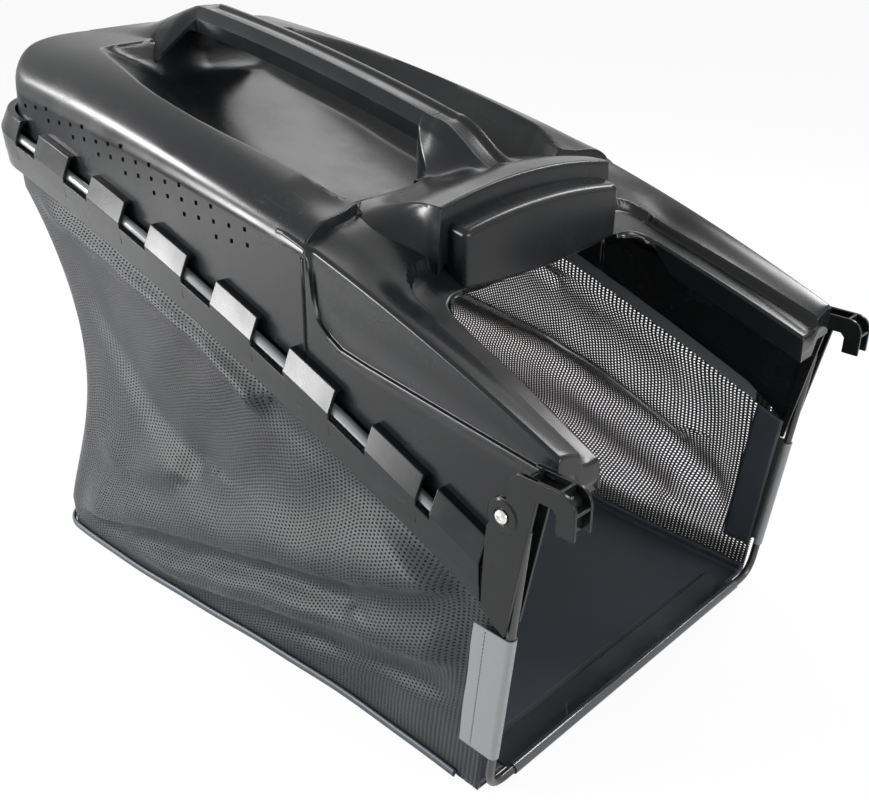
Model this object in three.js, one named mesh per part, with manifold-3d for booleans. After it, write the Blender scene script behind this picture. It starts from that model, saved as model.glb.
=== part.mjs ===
// Grass catcher for a walk-behind mower: a moulded top cover with a bow handle, a bent wire frame,
// two hook brackets and a sewn bag of woven mesh with a vinyl floor.
//
// Millimetres, +Z up. The mouth faces -Y, +X is to the right seen from behind the mouth.
// While it is built, y = 0 is the bottom wire of the mouth and z = 0 is the ground.

import * as THREE from "three";
import { mergeVertices } from "three/addons/utils/BufferGeometryUtils.js";
import Module from "manifold-3d";

const wasm = await Module();
wasm.setup();

// Fits and walls
const CLEARANCE = 0.3; // between pieces that touch
const COVER_WALL = 2.8;
const FABRIC = 1.0;
const VINYL = 1.4;

// Wire frame
const WIRE_D = 6.4;
const RIM_WIRE_OUT = 5.2; // centre line of the rim wire, out from the wall's foot
const MOUTH_LEAN = 0.11; // forward shift of the mouth for each millimetre of height
const MOUTH_CORNER_R = 18;
const MOUTH_WIRE_TOP = 226;

// Clip strips that hold the fabric on the wires
const STRIP_WALL = 0.8;
const MOUTH_FLANGE = 27;
const RIM_FLANGE = 22;
const MOUTH_STRIP_LOW = 38;
const MOUTH_STRIP_TOP = 143;

// Cover, side wall and rim in plan
const RIM_HALF = 170;
const WALL_DRAFT = 2; // how far each side wall leans in towards its top
const RIM_REAR_Y = 600;
const REAR_DRAFT = 10;
const REAR_CORNER_R = 40;
const ARM_FRONT_Y = -36;
const STEP_Y = 177; // where the high rear body steps down to the arms

// Cover, heights of its long lines at their front and rear ends, and how far each one arches
const CREST_LINE = { front: 371, rear: 440, arch: 9 };
const SHOULDER_DROP = { front: 24, rear: 33 };
const COVER_DEPTH_REAR = 97;
const STEP_RISE = 1; // shoulder of the arms above the shoulder of the rear body, at the step
const SHOULDER_LINE = {
  front: CREST_LINE.front - SHOULDER_DROP.front,
  rear: CREST_LINE.rear - SHOULDER_DROP.rear,
  arch: 3,
};
const SKIRT_LINE = { front: 159.5, rear: CREST_LINE.rear - COVER_DEPTH_REAR, arch: 16 };
const ARM_LINE = { front: 273, rear: SHOULDER_LINE.front + STEP_RISE, arch: 4 };
const ARM_INWARD_FALL = 8;
const ARM_TOP_INNER = 131;
const SHOULDER_POWER = 7.4; // how square the shoulder is in section

// Arm panel, sunk into the side wall
const PANEL_SINK = 3;
const PANEL_FRONT_Z = 262;
const PANEL_TURN_Y = 118;
const PANEL_TURN_Z = 281;

// Mouth notch in the top, and the shelf round it
const NOTCH_REAR_Y = 110;
const NOTCH_HALF_REAR = 114;
const NOTCH_HALF_FRONT = 125;
const NOTCH_CORNER_R = 26;
const SHELF_HALF_REAR = 131;
const SHELF_HALF_FRONT = 144;
const SHELF_REAR_Y = 150;
const SHELF_DROP = 7;
const RIM_DEPTH = 20;

// Front deck and block behind the notch
const DECK_FRONT_Y = 125.5;
const DECK_HALF = 92;
const DECK_FOOT_HALF = 116;
const DECK_DROP = 3; // corners of the deck below the crest
const DECK_CROWN = 9;
const DECK_FALL = 8; // how far the deck drops towards the recess
const BLOCK_HALF = 85;
const BLOCK_DROP = 14.5; // corners of the block below those of the deck
const BLOCK_CROWN = 7;

// Finger recess
const RECESS_FRONT_Y = 190;
const RECESS_REAR_Y = 524;
const RECESS_RIM_FRONT = 106;
const RECESS_RIM_MID = 134;
const RECESS_RIM_REAR = 92;
const RECESS_FLOOR_FRONT = 82;
const RECESS_FLOOR_REAR = 52;
const RECESS_DEPTH = { front: 56, rear: 32 };
const RECESS_FLOOR = {
  front: CREST_LINE.front - RECESS_DEPTH.front,
  rear: CREST_LINE.rear - RECESS_DEPTH.rear,
  arch: -14,
};
const RECESS_CROWN = 3; // how far the middle of the floor lies below its edges

// Bow handle and the hood that it grows from
const BAR_HALF = 20;
const BAR_TOP_HALF = 13;
const BAR_BEVEL = 9;
const BAR_HEIGHT = 21;
const BAR_GROOVE = 4;
const BAR_RISE = { front: 30, rear: 22 }; // top of the bar above the crest
const BAR_LINE = {
  front: CREST_LINE.front + BAR_RISE.front,
  rear: CREST_LINE.rear + BAR_RISE.rear,
  arch: 5,
};
const BAR_FRONT_Y = 200;
const BAR_REAR_Y = 512;
const HOOD_HALF_FRONT = 54;
const HOOD_HALF_REAR = 78;
const HOOD_POCKET = 34;
const HOOD_ROOT = 33; // how far the hood reaches down below the crest
const PILLAR_HALF = 36;
const PILLAR_FOOT_Y = 146;
const PILLAR_ROOT = 46; // how far its rear runs down the front wall of the recess

// Skirt and the raised pads that close over the rim wire
const SKIRT_OUT = 12.7; // outer face of the skirt, out from the wall
const SKIRT_WALL = 2.5;
const SKIRT_HEIGHT = 25;
const PAD_TOP = 44.5;
const PAD_SHOULDER = 29;
const PAD_LEDGE = 5.2; // width of the flat on top of a pad
const PAD_LENGTH = 47;
const PAD_PITCH = 82;
const FIRST_PAD_Y = 60;
const SIDE_PADS = 6;
const SKIRT_FRONT_Y = 6;
const BLIND_LENGTH = 42;

// Vent holes in the side walls, in slanting rows
const VENT = 4.2;
const VENT_COUNTS = [3, 4, 5, 5, 5, 5, 5, 3];
const VENT_FIRST_Y = 548;
const VENT_ROW_PITCH = 39;
const VENT_STEP_Y = 18.5;
const VENT_STEP_Z = 5.2;
const VENT_BELOW_SHOULDER = 13;
const VENT_ROW_FALL = 2.5;

// Hook brackets
const PLATE_STAND = 12; // outer face of the plate, out from the wall's foot
const PLATE_WALL = 3;
const RIB_WALL = 2.3; // inner rib of the bracket, in front of the cover's wall
const PLATE_FRONT_TOP = { y: -35, z: 253 };
const PLATE_TIP = { y: -15, z: 147 };
const PLATE_REAR_Y = 5;
const HOOK_TOP_Z = 265.5;
const HOOK_FRONT_Y = -61.5;
const HOOK_TIP_Z = 238;
const HOOK_TIP_LENGTH = 12.5;
const HOOK_CORNER_R = 9;
const SCREW_Y = -11;
const SCREW_Z = 233;
const BOSS_R = 12;
const SCREW_D = 5;
const SCREW_HEAD_D = 9.6;
const SCREW_HEAD_H = 3.2;
const NUT_FLATS = 8;
const NUT_H = 4;

// Bag
const BAG_TOP = 24; // top edge of the fabric, above the skirt's lower edge
const BAG_FRONT_SPREAD = 2.3; // front lower corners of the bag, out from the mouth wire
const BAG_FLOOR_REAR_HALF = 206;
const BAG_SPREAD_FROM_Y = 90;
const BAG_SPREAD_END = 40; // where the spread ends, in front of the floor's rear edge
const BAG_FLOOR_REAR_Y = 532;
const BAG_REAR_HOLLOW = 60;
const BAG_CORNER_R = 30;
const BAG_BULGE = 12;
const FOLD_CALM = { front: 24, edge: 30, rim: 3, tray: 4 }; // flat cloth beside each seam
const TRAY_HEIGHT = 28;
const BINDING_WIDTH = 20;
const PIPING_D = 5;

// Long folds of the mesh side walls: runs of points as shares of the wall's length and height, and
// how far and how wide each one stands out, or goes in where its height is negative
const LEFT_FOLDS = [
  {
    run: [[0.97, 0.87], [0.79, 0.87], [0.68, 0.87], [0.54, 0.86], [0.45, 0.83]],
    height: 8,
    width: 18,
  },
  {
    run: [[1, 0.07], [0.89, 0.14], [0.75, 0.24], [0.49, 0.38], [0.26, 0.56], [0.09, 0.79]],
    height: 10,
    width: 24,
  },
  {
    run: [[0.71, 0.08], [0.49, 0.16], [0.31, 0.28], [0.16, 0.4], [0.09, 0.47]],
    height: 7,
    width: 18,
  },
  {
    run: [[0.99, 0.72], [0.91, 0.65], [0.8, 0.54], [0.67, 0.5]],
    height: -4,
    width: 28,
  },
];
const RIGHT_FOLDS = [
  {
    run: [[0.95, 0.42], [0.75, 0.43], [0.57, 0.45], [0.41, 0.41], [0.25, 0.4], [0.09, 0.26]],
    height: 6,
    width: 18,
  },
  {
    run: [[0.94, 0.57], [0.73, 0.57], [0.55, 0.58], [0.38, 0.58], [0.21, 0.51]],
    height: -5,
    width: 20,
  },
  {
    run: [[1, 0.08], [0.89, 0.14], [0.74, 0.21], [0.47, 0.22], [0.23, 0.14]],
    height: 7,
    width: 20,
  },
  {
    run: [[0.97, 0.87], [0.79, 0.87], [0.54, 0.86], [0.45, 0.83]],
    height: 5,
    width: 18,
  },
];

// Derived sizes
const WIRE_R = WIRE_D / 2;
const STRIP_IN_R = WIRE_R + CLEARANCE;
const STRIP_OUT_R = STRIP_IN_R + STRIP_WALL;
const WIRE_CENTRE_Z = STRIP_OUT_R;
const MOUTH_HALF_WIDTH = RIM_HALF + RIM_WIRE_OUT; // centre line of the upright mouth wires
const WALL_TOP_HALF = RIM_HALF - WALL_DRAFT;
const CROWN_REAR_Y = RIM_REAR_Y - REAR_DRAFT;
const PLATE_OUT = RIM_HALF + PLATE_STAND;
const DECK_CORNER_Z = CREST_LINE.front - DECK_DROP;
const BLOCK_CORNER_Z = DECK_CORNER_Z - BLOCK_DROP;
const BAG_FLOOR_FRONT_HALF = MOUTH_HALF_WIDTH + BAG_FRONT_SPREAD;
const RIM_WIRE_UP = 28; // above the skirt's lower edge
const SKIRT_IN = SKIRT_OUT - SKIRT_WALL;
const BODY_BOTTOM = SKIRT_HEIGHT - 5;
const WIRE_SPACE = 1.5; // behind the mouth wire, to the front edge of the side wall
const BRACKET_IN = WALL_TOP_HALF - PANEL_SINK + CLEARANCE;
const NUT_FACE = WALL_TOP_HALF - COVER_WALL;
const OVERLAP = 1; // how far joined shapes run into each other
const FAR = 400; // past the whole part

const BLACK_PLASTIC = { color: 0x2b2d30, roughness: 0.42, metalness: 0 };
const BRACKET_PLASTIC = { color: 0x2a2c2f, roughness: 0.45, metalness: 0 };
const BLACK_WIRE = { color: 0x17181a, roughness: 0.35, metalness: 0.2 };
const GREY_VINYL = { color: 0x34373c, roughness: 0.5, metalness: 0 };
const MESH_FABRIC = { color: 0x222427, roughness: 0.85, metalness: 0 };
const STRIP_PLASTIC = { color: 0x3a3d40, roughness: 0.3, metalness: 0 };
const ZINC = { color: 0xc4c6c8, roughness: 0.3, metalness: 1 };

const lerp = THREE.MathUtils.lerp;
const clamp = THREE.MathUtils.clamp;

// Height on a long line that runs from y0 to y1.
function along(line, y0, y1, y) {
  const t = clamp((y - y0) / (y1 - y0), -0.2, 1.1);
  return lerp(line.front, line.rear, t) + line.arch * 4 * t * (1 - t);
}

const skirtZ = (y) => along(SKIRT_LINE, 0, RIM_REAR_Y, y);
const crestZ = (y) => along(CREST_LINE, RECESS_FRONT_Y, CROWN_REAR_Y, y);
const shoulderZ = (y) => along(SHOULDER_LINE, STEP_Y, CROWN_REAR_Y, y);
const armZ = (y) => along(ARM_LINE, ARM_FRONT_Y, STEP_Y, y);
const recessFloorZ = (y) => along(RECESS_FLOOR, RECESS_FRONT_Y, RECESS_REAR_Y, y);
const barZ = (y) => along(BAR_LINE, BAR_FRONT_Y, BAR_REAR_Y, y);
const shelfZ = (y) => armZ(y) - ARM_INWARD_FALL - SHELF_DROP;
const mouthY = (z) => -MOUTH_LEAN * (z - WIRE_CENTRE_Z);

// The geometry as a solid, with its faces turned outwards.
function solidOf(geometry) {
  const bare = geometry.clone();
  bare.deleteAttribute("normal");
  bare.deleteAttribute("uv");
  const merged = mergeVertices(bare, 1e-4);
  const corners = merged.attributes.position.array;
  const faces = new Uint32Array(merged.index.array);
  let volume = 0;
  const [a, b, c] = [new THREE.Vector3(), new THREE.Vector3(), new THREE.Vector3()];
  for (let i = 0; i < faces.length; i += 3) {
    a.fromArray(corners, faces[i] * 3);
    b.fromArray(corners, faces[i + 1] * 3);
    c.fromArray(corners, faces[i + 2] * 3);
    volume += a.dot(b.cross(c));
  }
  if (volume < 0) {
    for (let i = 0; i < faces.length; i += 3) {
      [faces[i + 1], faces[i + 2]] = [faces[i + 2], faces[i + 1]];
    }
  }
  return new wasm.Manifold(
    new wasm.Mesh({ numProp: 3, vertProperties: corners, triVerts: faces }),
  );
}

// A mesh of a solid, ready to name and place.
function meshOf(name, solid, finish) {
  const made = solid.getMesh();
  const geometry = new THREE.BufferGeometry();
  geometry.setAttribute("position", new THREE.BufferAttribute(made.vertProperties, 3));
  geometry.setIndex(new THREE.BufferAttribute(made.triVerts, 1));
  geometry.computeVertexNormals();
  const mesh = new THREE.Mesh(geometry, new THREE.MeshStandardMaterial(finish));
  mesh.name = name;
  return mesh;
}

// A block whose corners u, v, w (each 0 to 1) are placed by a formula.
function warped(nu, nv, nw, place) {
  const geometry = new THREE.BoxGeometry(1, 1, 1, nu, nv, nw);
  const position = geometry.attributes.position;
  for (let i = 0; i < position.count; i++) {
    const u = position.getX(i) + 0.5;
    const v = position.getY(i) + 0.5;
    const w = position.getZ(i) + 0.5;
    const [x, y, z] = place(u, v, w);
    position.setXYZ(i, x, y, z);
  }
  return solidOf(geometry);
}

function box(x0, x1, y0, y1, z0, z1) {
  return warped(1, 1, 1, (u, v, w) => [lerp(x0, x1, u), lerp(y0, y1, v), lerp(z0, z1, w)]);
}

// A plan outline, extruded upwards from z0 to z1.
function upright(shape, z0, z1, curveSegments = 6) {
  const geometry = new THREE.ExtrudeGeometry(shape, {
    depth: z1 - z0,
    bevelEnabled: false,
    curveSegments,
  });
  geometry.translate(0, 0, z0);
  return solidOf(geometry);
}

// A side outline in y and z, extruded across x.
function crosswise(shape, x0, x1, curveSegments = 6) {
  const geometry = new THREE.ExtrudeGeometry(shape, {
    depth: x1 - x0,
    bevelEnabled: false,
    curveSegments,
  });
  const toSide = new THREE.Matrix4().makeBasis(
    new THREE.Vector3(0, 1, 0),
    new THREE.Vector3(0, 0, 1),
    new THREE.Vector3(1, 0, 0),
  );
  geometry.applyMatrix4(toSide);
  geometry.translate(x0, 0, 0);
  return solidOf(geometry);
}

// A round bar or tube section swept along a path.
function rod(path, radius, steps, sides = 10) {
  const section = new THREE.Shape();
  for (let i = 0; i < sides; i++) {
    const angle = (2 * Math.PI * (i + 0.5)) / sides;
    const point = [radius * Math.cos(angle), radius * Math.sin(angle)];
    if (i === 0) section.moveTo(...point);
    else section.lineTo(...point);
  }
  section.closePath();
  return solidOf(
    new THREE.ExtrudeGeometry(section, { steps, extrudePath: path, bevelEnabled: false }),
  );
}

// A round bead through count + 1 stations; place gives the point of station k at dx, dz in the section.
function bead(count, radius, sides, place) {
  const geometry = new THREE.CylinderGeometry(radius, radius, 1, sides, count);
  const position = geometry.attributes.position;
  for (let i = 0; i < position.count; i++) {
    const k = Math.round((position.getY(i) + 0.5) * count);
    position.setXYZ(i, ...place(k, position.getX(i), position.getZ(i)));
  }
  return solidOf(geometry);
}

function polygon(points) {
  return new THREE.Shape(points.map(([x, y]) => new THREE.Vector2(x, y)));
}

// A point on the rim path, which runs from the left front round the rear to the right front.
// t is the distance along it from the middle of the rear, out the distance out from the wall,
// up the height above the skirt's lower edge.
const RIM_REAR_HALF = RIM_HALF - REAR_CORNER_R;
const RIM_CORNER = (Math.PI / 2) * REAR_CORNER_R;
function rimPoint(t, out, up) {
  const side = Math.sign(t) || 1;
  const run = Math.abs(t);
  const cornerY = RIM_REAR_Y - REAR_CORNER_R;
  let [x, y] = [run, RIM_REAR_Y + out];
  if (run > RIM_REAR_HALF + RIM_CORNER) {
    x = RIM_HALF + out;
    y = cornerY - (run - RIM_REAR_HALF - RIM_CORNER);
  } else if (run > RIM_REAR_HALF) {
    const turn = (run - RIM_REAR_HALF) / REAR_CORNER_R;
    x = RIM_REAR_HALF + (REAR_CORNER_R + out) * Math.sin(turn);
    y = cornerY + (REAR_CORNER_R + out) * Math.cos(turn);
  }
  return [side * x, y, skirtZ(Math.min(y, RIM_REAR_Y)) + up];
}
// Distance along the rim path of a place y on a straight side.
const rimRun = (y) => RIM_REAR_HALF + RIM_CORNER + (RIM_REAR_Y - REAR_CORNER_R - y);

// Distances along the rim path from t0 to t1 that catch its corners.
function rimStations(t0, t1, spacing) {
  const stations = [t0, t1];
  for (const side of [-1, 1]) {
    for (let i = 0; i <= 5; i++) {
      stations.push(side * (RIM_REAR_HALF + (RIM_CORNER * i) / 5));
    }
  }
  const count = Math.max(1, Math.round((t1 - t0) / spacing));
  for (let i = 1; i < count; i++) stations.push(lerp(t0, t1, i / count));
  return stations
    .filter((t) => t >= t0 && t <= t1)
    .sort((a, b) => a - b)
    .filter((t, i, all) => i === 0 || t - all[i - 1] > 2);
}

// A strip along the rim: the section is a closed run of points, given as an outer and an inner list.
function rimStrip(t0, t1, outer, inner, spacing = 60) {
  const stations = rimStations(t0, t1, spacing);
  const nu = stations.length - 1;
  const nw = outer.length - 1;
  return warped(nu, 1, nw, (u, v, w) => {
    const k = Math.round(w * nw);
    const [out, up] = v < 0.5 ? inner[k] : outer[k];
    return rimPoint(stations[Math.round(u * nu)], out, up);
  });
}

// Places across the section of the cover, closer together at the shoulders.
const SECTION = [0, 0.35, 0.62, 0.78, 0.86, 0.92, 0.96, 0.985, 1];
const SECTION_STEPS = (SECTION.length - 1) * 2;
function across(u) {
  const k = Math.round(u * SECTION_STEPS) - (SECTION.length - 1);
  return Math.sign(k) * SECTION[Math.abs(k)];
}

// Plan outline of the body with round rear corners.
function planOutline(inset) {
  const half = RIM_HALF - inset;
  const rear = RIM_REAR_Y - inset;
  const r = REAR_CORNER_R - inset;
  const shape = new THREE.Shape();
  shape.moveTo(-half, ARM_FRONT_Y - FAR);
  shape.lineTo(half, ARM_FRONT_Y - FAR);
  shape.lineTo(half, rear - r);
  shape.absarc(half - r, rear - r, r, 0, Math.PI / 2, false);
  shape.lineTo(-half + r, rear);
  shape.absarc(-half + r, rear - r, r, Math.PI / 2, Math.PI, false);
  shape.closePath();
  return shape;
}

// High rear body: crowned in section, with round shoulders.
function rearBody(inset) {
  const bottomDrop = inset > 0 ? FAR : 0;
  const front = STEP_Y + inset;
  const made = warped(SECTION_STEPS, 10, 1, (u, v, w) => {
    const s = across(u);
    const y = lerp(front, (w > 0.5 ? CROWN_REAR_Y : RIM_REAR_Y) - inset, v);
    if (w < 0.5) return [s * (RIM_HALF - inset), y, skirtZ(y) + BODY_BOTTOM - bottomDrop];
    const fall = (crestZ(y) - shoulderZ(y)) * Math.pow(Math.abs(s), SHOULDER_POWER);
    return [s * (WALL_TOP_HALF - inset), y, crestZ(y) - fall - inset];
  });
  return made.intersect(upright(planOutline(inset), -2 * FAR, 2 * FAR));
}

// The two arms beside the notch, made as one low body.
function armBody(inset) {
  const bottomDrop = inset > 0 ? FAR : 0;
  const rear = STEP_Y + (inset > 0 ? 3 * inset : 2 * OVERLAP);
  return warped(SECTION_STEPS, 6, 1, (u, v, w) => {
    const s = across(u);
    const y = lerp(ARM_FRONT_Y + inset, rear, v);
    if (w < 0.5) return [s * (RIM_HALF - inset), y, skirtZ(y) + BODY_BOTTOM - bottomDrop];
    const x = Math.abs(s) * (WALL_TOP_HALF - inset);
    const inward = clamp((WALL_TOP_HALF - x) / (WALL_TOP_HALF - ARM_TOP_INNER), 0, 1);
    const edge = 5 * Math.pow(clamp(1 - inward * 6, 0, 1), 2);
    return [s * (WALL_TOP_HALF - inset), y, armZ(y) - ARM_INWARD_FALL * inward - edge - inset];
  });
}

// What is cut from the side of the arms to sink their panel.
function armPanel(side, inset) {
  const shape = new THREE.Shape();
  shape.moveTo(ARM_FRONT_Y - FAR, PANEL_FRONT_Z - inset);
  shape.lineTo(ARM_FRONT_Y, PANEL_FRONT_Z - inset);
  shape.lineTo(PANEL_TURN_Y, PANEL_TURN_Z - inset);
  const top = STEP_Y - 3 + inset;
  shape.quadraticCurveTo(top, PANEL_TURN_Z + 8 - inset, top, armZ(STEP_Y) + FAR);
  shape.lineTo(ARM_FRONT_Y - FAR, armZ(STEP_Y) + FAR);
  shape.closePath();
  const face = WALL_TOP_HALF - PANEL_SINK - inset;
  const [x0, x1] = side > 0 ? [face, FAR] : [-FAR, -face];
  return crosswise(shape, x0, x1);
}

// Front deck between the recess and the notch, with sloping sides.
function deckBody(inset) {
  const foot = shelfZ(SHELF_REAR_Y) - 25;
  return warped(8, 3, 1, (u, v, w) => {
    const s = 2 * u - 1;
    const y = lerp(DECK_FRONT_Y + inset, RECESS_FRONT_Y + 16, v);
    const spread = clamp((y - DECK_FRONT_Y) / 22, 0, 1);
    if (w < 0.5) {
      const half = lerp(DECK_HALF + 2, DECK_FOOT_HALF, spread);
      return [s * (half - inset), y, foot - inset];
    }
    const top = DECK_CORNER_Z + DECK_CROWN * (1 - s * s) - DECK_FALL * v;
    return [s * (DECK_HALF - inset), y, top - inset];
  });
}

// Low block in front of the deck; its face is the rear wall of the notch.
function blockBody(inset) {
  return warped(8, 1, 1, (u, v, w) => {
    const s = 2 * u - 1;
    const y = lerp(NOTCH_REAR_Y + inset, DECK_FRONT_Y + 4 + inset, v);
    const foot = shelfZ(NOTCH_REAR_Y) - RIM_DEPTH;
    if (w < 0.5) return [s * (BLOCK_HALF + 3 - inset), y, foot - inset];
    const top = BLOCK_CORNER_Z + BLOCK_CROWN * (1 - s * s) + 4 * v;
    return [s * (BLOCK_HALF - inset), y, top - inset];
  });
}

// Outline in plan of the notch or of the shelf round it.
function mouthOutline(halfFront, halfRear, rearY, cornerR, grow) {
  const shape = new THREE.Shape();
  const rear = rearY + grow;
  shape.moveTo(-halfFront - grow, ARM_FRONT_Y - FAR);
  shape.lineTo(halfFront + grow, ARM_FRONT_Y - FAR);
  shape.lineTo(halfFront + grow, ARM_FRONT_Y);
  shape.lineTo(halfRear + grow, rear - cornerR);
  shape.quadraticCurveTo(halfRear + grow, rear, halfRear + grow - cornerR, rear);
  shape.lineTo(-halfRear - grow + cornerR, rear);
  shape.quadraticCurveTo(-halfRear - grow, rear, -halfRear - grow, rear - cornerR);
  shape.lineTo(-halfFront - grow, ARM_FRONT_Y);
  shape.closePath();
  return shape;
}

function notch(grow) {
  const shape = mouthOutline(
    NOTCH_HALF_FRONT,
    NOTCH_HALF_REAR,
    NOTCH_REAR_Y,
    NOTCH_CORNER_R,
    grow,
  );
  return upright(shape, -FAR, 2 * FAR);
}

// Everything above a surface that follows the shelf, lowered by drop.
function aboveShelf(drop) {
  return warped(1, 8, 1, (u, v, w) => {
    const y = lerp(ARM_FRONT_Y - 20, STEP_Y + 40, v);
    return [lerp(-FAR, FAR, u), y, w < 0.5 ? shelfZ(y) - drop : 2 * FAR];
  });
}

function shelf(inset) {
  const shape = mouthOutline(SHELF_HALF_FRONT, SHELF_HALF_REAR, SHELF_REAR_Y, 34, inset);
  return upright(shape, -FAR, 2 * FAR).intersect(aboveShelf(inset));
}

// The body before it is hollowed, or its hollow when inset is the wall.
function coverShape(inset) {
  let low = armBody(inset).subtract(shelf(inset));
  for (const side of [-1, 1]) low = low.subtract(armPanel(side, inset));
  return rearBody(inset).add(low).add(deckBody(inset)).add(blockBody(inset));
}

// Finger recess: wide at the rim, narrow at its sloping floor.
function recess(grow) {
  const rise = 30;
  return warped(6, 8, 1, (u, v, w) => {
    const s = 2 * u - 1;
    const front = (w > 0.5 ? RECESS_FRONT_Y - 4 : RECESS_FRONT_Y + 20) - grow;
    const y = lerp(front, RECESS_REAR_Y + grow, v);
    const t = clamp((y - RECESS_FRONT_Y) / (RECESS_REAR_Y - RECESS_FRONT_Y), 0, 1);
    const bow = Math.pow(4 * t * (1 - t), 0.6);
    const rim = Math.max(
      lerp(RECESS_RIM_FRONT, RECESS_RIM_REAR, t) +
        bow * (RECESS_RIM_MID - (RECESS_RIM_FRONT + RECESS_RIM_REAR) / 2),
      RECESS_RIM_REAR,
    );
    const floorHalf = lerp(RECESS_FLOOR_FRONT, RECESS_FLOOR_REAR, t) + 8 * bow;
    const floor = recessFloorZ(y) - RECESS_CROWN * (1 - s * s);
    if (w < 0.5) return [s * (floorHalf + grow), y, floor - grow];
    const depth = crestZ(y) - floor;
    const half = rim + ((rim - floorHalf) * rise) / depth;
    return [s * (half + grow), y, crestZ(y) + rise];
  });
}

// Section of the bow handle: a flat top with a groove between two bevels, open below.
function handleBar(inset) {
  const stations = [-1, -0.65, -0.25, 0.25, 0.65, 1];
  const count = stations.length - 1;
  const reach = inset > 0 ? OVERLAP + 3 : 0;
  return warped(count, 10, 1, (u, v, w) => {
    const k = Math.round(u * count);
    const s = stations[k];
    const y = lerp(BAR_FRONT_Y - 4 + reach, BAR_REAR_Y + 6 - reach, v);
    const half = s === 1 || s === -1 ? BAR_HALF - inset : BAR_TOP_HALF - inset * 0.6;
    const x = Math.abs(s) === 1 ? s * half : (s / 0.65) * half;
    if (w < 0.5) return [x, y, barZ(y) - BAR_HEIGHT - (inset > 0 ? 6 : 0)];
    const groove = Math.abs(s) < 0.5 ? BAR_GROOVE : 0;
    const bevel = Math.abs(s) === 1 ? BAR_BEVEL : 0;
    return [x, y, barZ(y) - groove - bevel - inset];
  });
}

// Hood at the rear of the recess that carries the handle, and the pillar at its front.
function hood(inset) {
  return warped(8, 5, 1, (u, v, w) => {
    const s = 2 * u - 1;
    const y = lerp(BAR_REAR_Y - 10 + inset, CROWN_REAR_Y - 2 - inset, v);
    const foot = lerp(HOOD_HALF_FRONT, HOOD_HALF_REAR, v) - inset;
    if (w < 0.5) return [s * foot, y, crestZ(y) - HOOD_ROOT - inset];
    const peak = lerp(barZ(BAR_REAR_Y), crestZ(CROWN_REAR_Y), v * v * (3 - 2 * v));
    const edge = lerp(crestZ(y) - 22, crestZ(y) - 3, v);
    const flank = Math.pow(Math.max(0, 1 - Math.abs(s)), 0.75);
    const top = lerp(edge, peak, Math.min(1, flank * 1.35));
    return [s * foot, y, top - inset];
  });
}

// Hollow of the hood, open towards the recess.
function hoodPocket() {
  return warped(6, 2, 1, (u, v, w) => {
    const s = 2 * u - 1;
    const y = lerp(BAR_REAR_Y - 20, BAR_REAR_Y + HOOD_POCKET, v);
    const half = lerp(HOOD_HALF_FRONT, HOOD_HALF_FRONT * 0.5, v) - 3 * COVER_WALL;
    const roof = barZ(BAR_REAR_Y) - BAR_HEIGHT - 22 * Math.abs(s) - 8 * v;
    const floor = RECESS_FLOOR.rear - 2 + 8 * v;
    return [s * half, y, w < 0.5 ? floor : Math.max(roof, floor + 4)];
  });
}

// Pillar that carries the front of the handle, flared into the deck.
function pillar() {
  return warped(6, 5, 1, (u, v, w) => {
    const s = 2 * u - 1;
    const y = lerp(PILLAR_FOOT_Y, BAR_FRONT_Y + 8, v);
    const flare = Math.pow(1 - v, 2);
    const foot = lerp(BAR_HALF, PILLAR_HALF, w < 0.5 ? 1 : flare);
    const deck = DECK_CORNER_Z + DECK_CROWN - 1;
    if (w < 0.5) return [s * foot, y, deck - 6 - PILLAR_ROOT * v];
    const top = lerp(deck, barZ(BAR_FRONT_Y + 8), v * v * (3 - 2 * v));
    const bevel = BAR_BEVEL * Math.pow(Math.abs(s), 3) * v;
    return [s * foot, y, top - bevel];
  });
}

// Skirt with its raised pads; the rim wire lies in the channel behind it.
function skirtAndPads() {
  const reach = rimRun(SKIRT_FRONT_Y);
  let made = rimStrip(
    -reach,
    reach,
    [[SKIRT_OUT - 1.5, 0], [SKIRT_OUT, SKIRT_HEIGHT]],
    [[SKIRT_IN - 1.5, 0], [SKIRT_IN, SKIRT_HEIGHT]],
  );
  const outer = [
    [-OVERLAP, PAD_TOP],
    [PAD_LEDGE, PAD_TOP],
    [SKIRT_OUT, PAD_SHOULDER],
    [SKIRT_OUT - 0.6, 12],
  ];
  const inner = [
    [-OVERLAP, PAD_TOP - SKIRT_WALL],
    [PAD_LEDGE - 2, PAD_TOP - SKIRT_WALL],
    [SKIRT_IN, PAD_SHOULDER - 1],
    [SKIRT_IN - 0.6, 12],
  ];
  for (const side of [-1, 1]) {
    for (let i = 0; i < SIDE_PADS; i++) {
      const y0 = FIRST_PAD_Y + i * PAD_PITCH;
      const ends = [side * rimRun(y0), side * rimRun(y0 + PAD_LENGTH)].sort((a, b) => a - b);
      made = made.add(rimStrip(...ends, outer, inner));
    }
    const blind = [side * rimRun(SKIRT_FRONT_Y), side * rimRun(SKIRT_FRONT_Y + BLIND_LENGTH)];
    blind.sort((a, b) => a - b);
    made = made.add(rimStrip(...blind, outer, inner));
    const corner = [side * (RIM_REAR_HALF - 8), side * (RIM_REAR_HALF + RIM_CORNER + 12)];
    corner.sort((a, b) => a - b);
    made = made.add(rimStrip(...corner, outer, inner));
  }
  for (const k of [-0.5, 0.5]) {
    const mid = k * PAD_PITCH;
    made = made.add(rimStrip(mid - PAD_LENGTH / 2, mid + PAD_LENGTH / 2, outer, inner));
  }
  return made;
}

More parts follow.
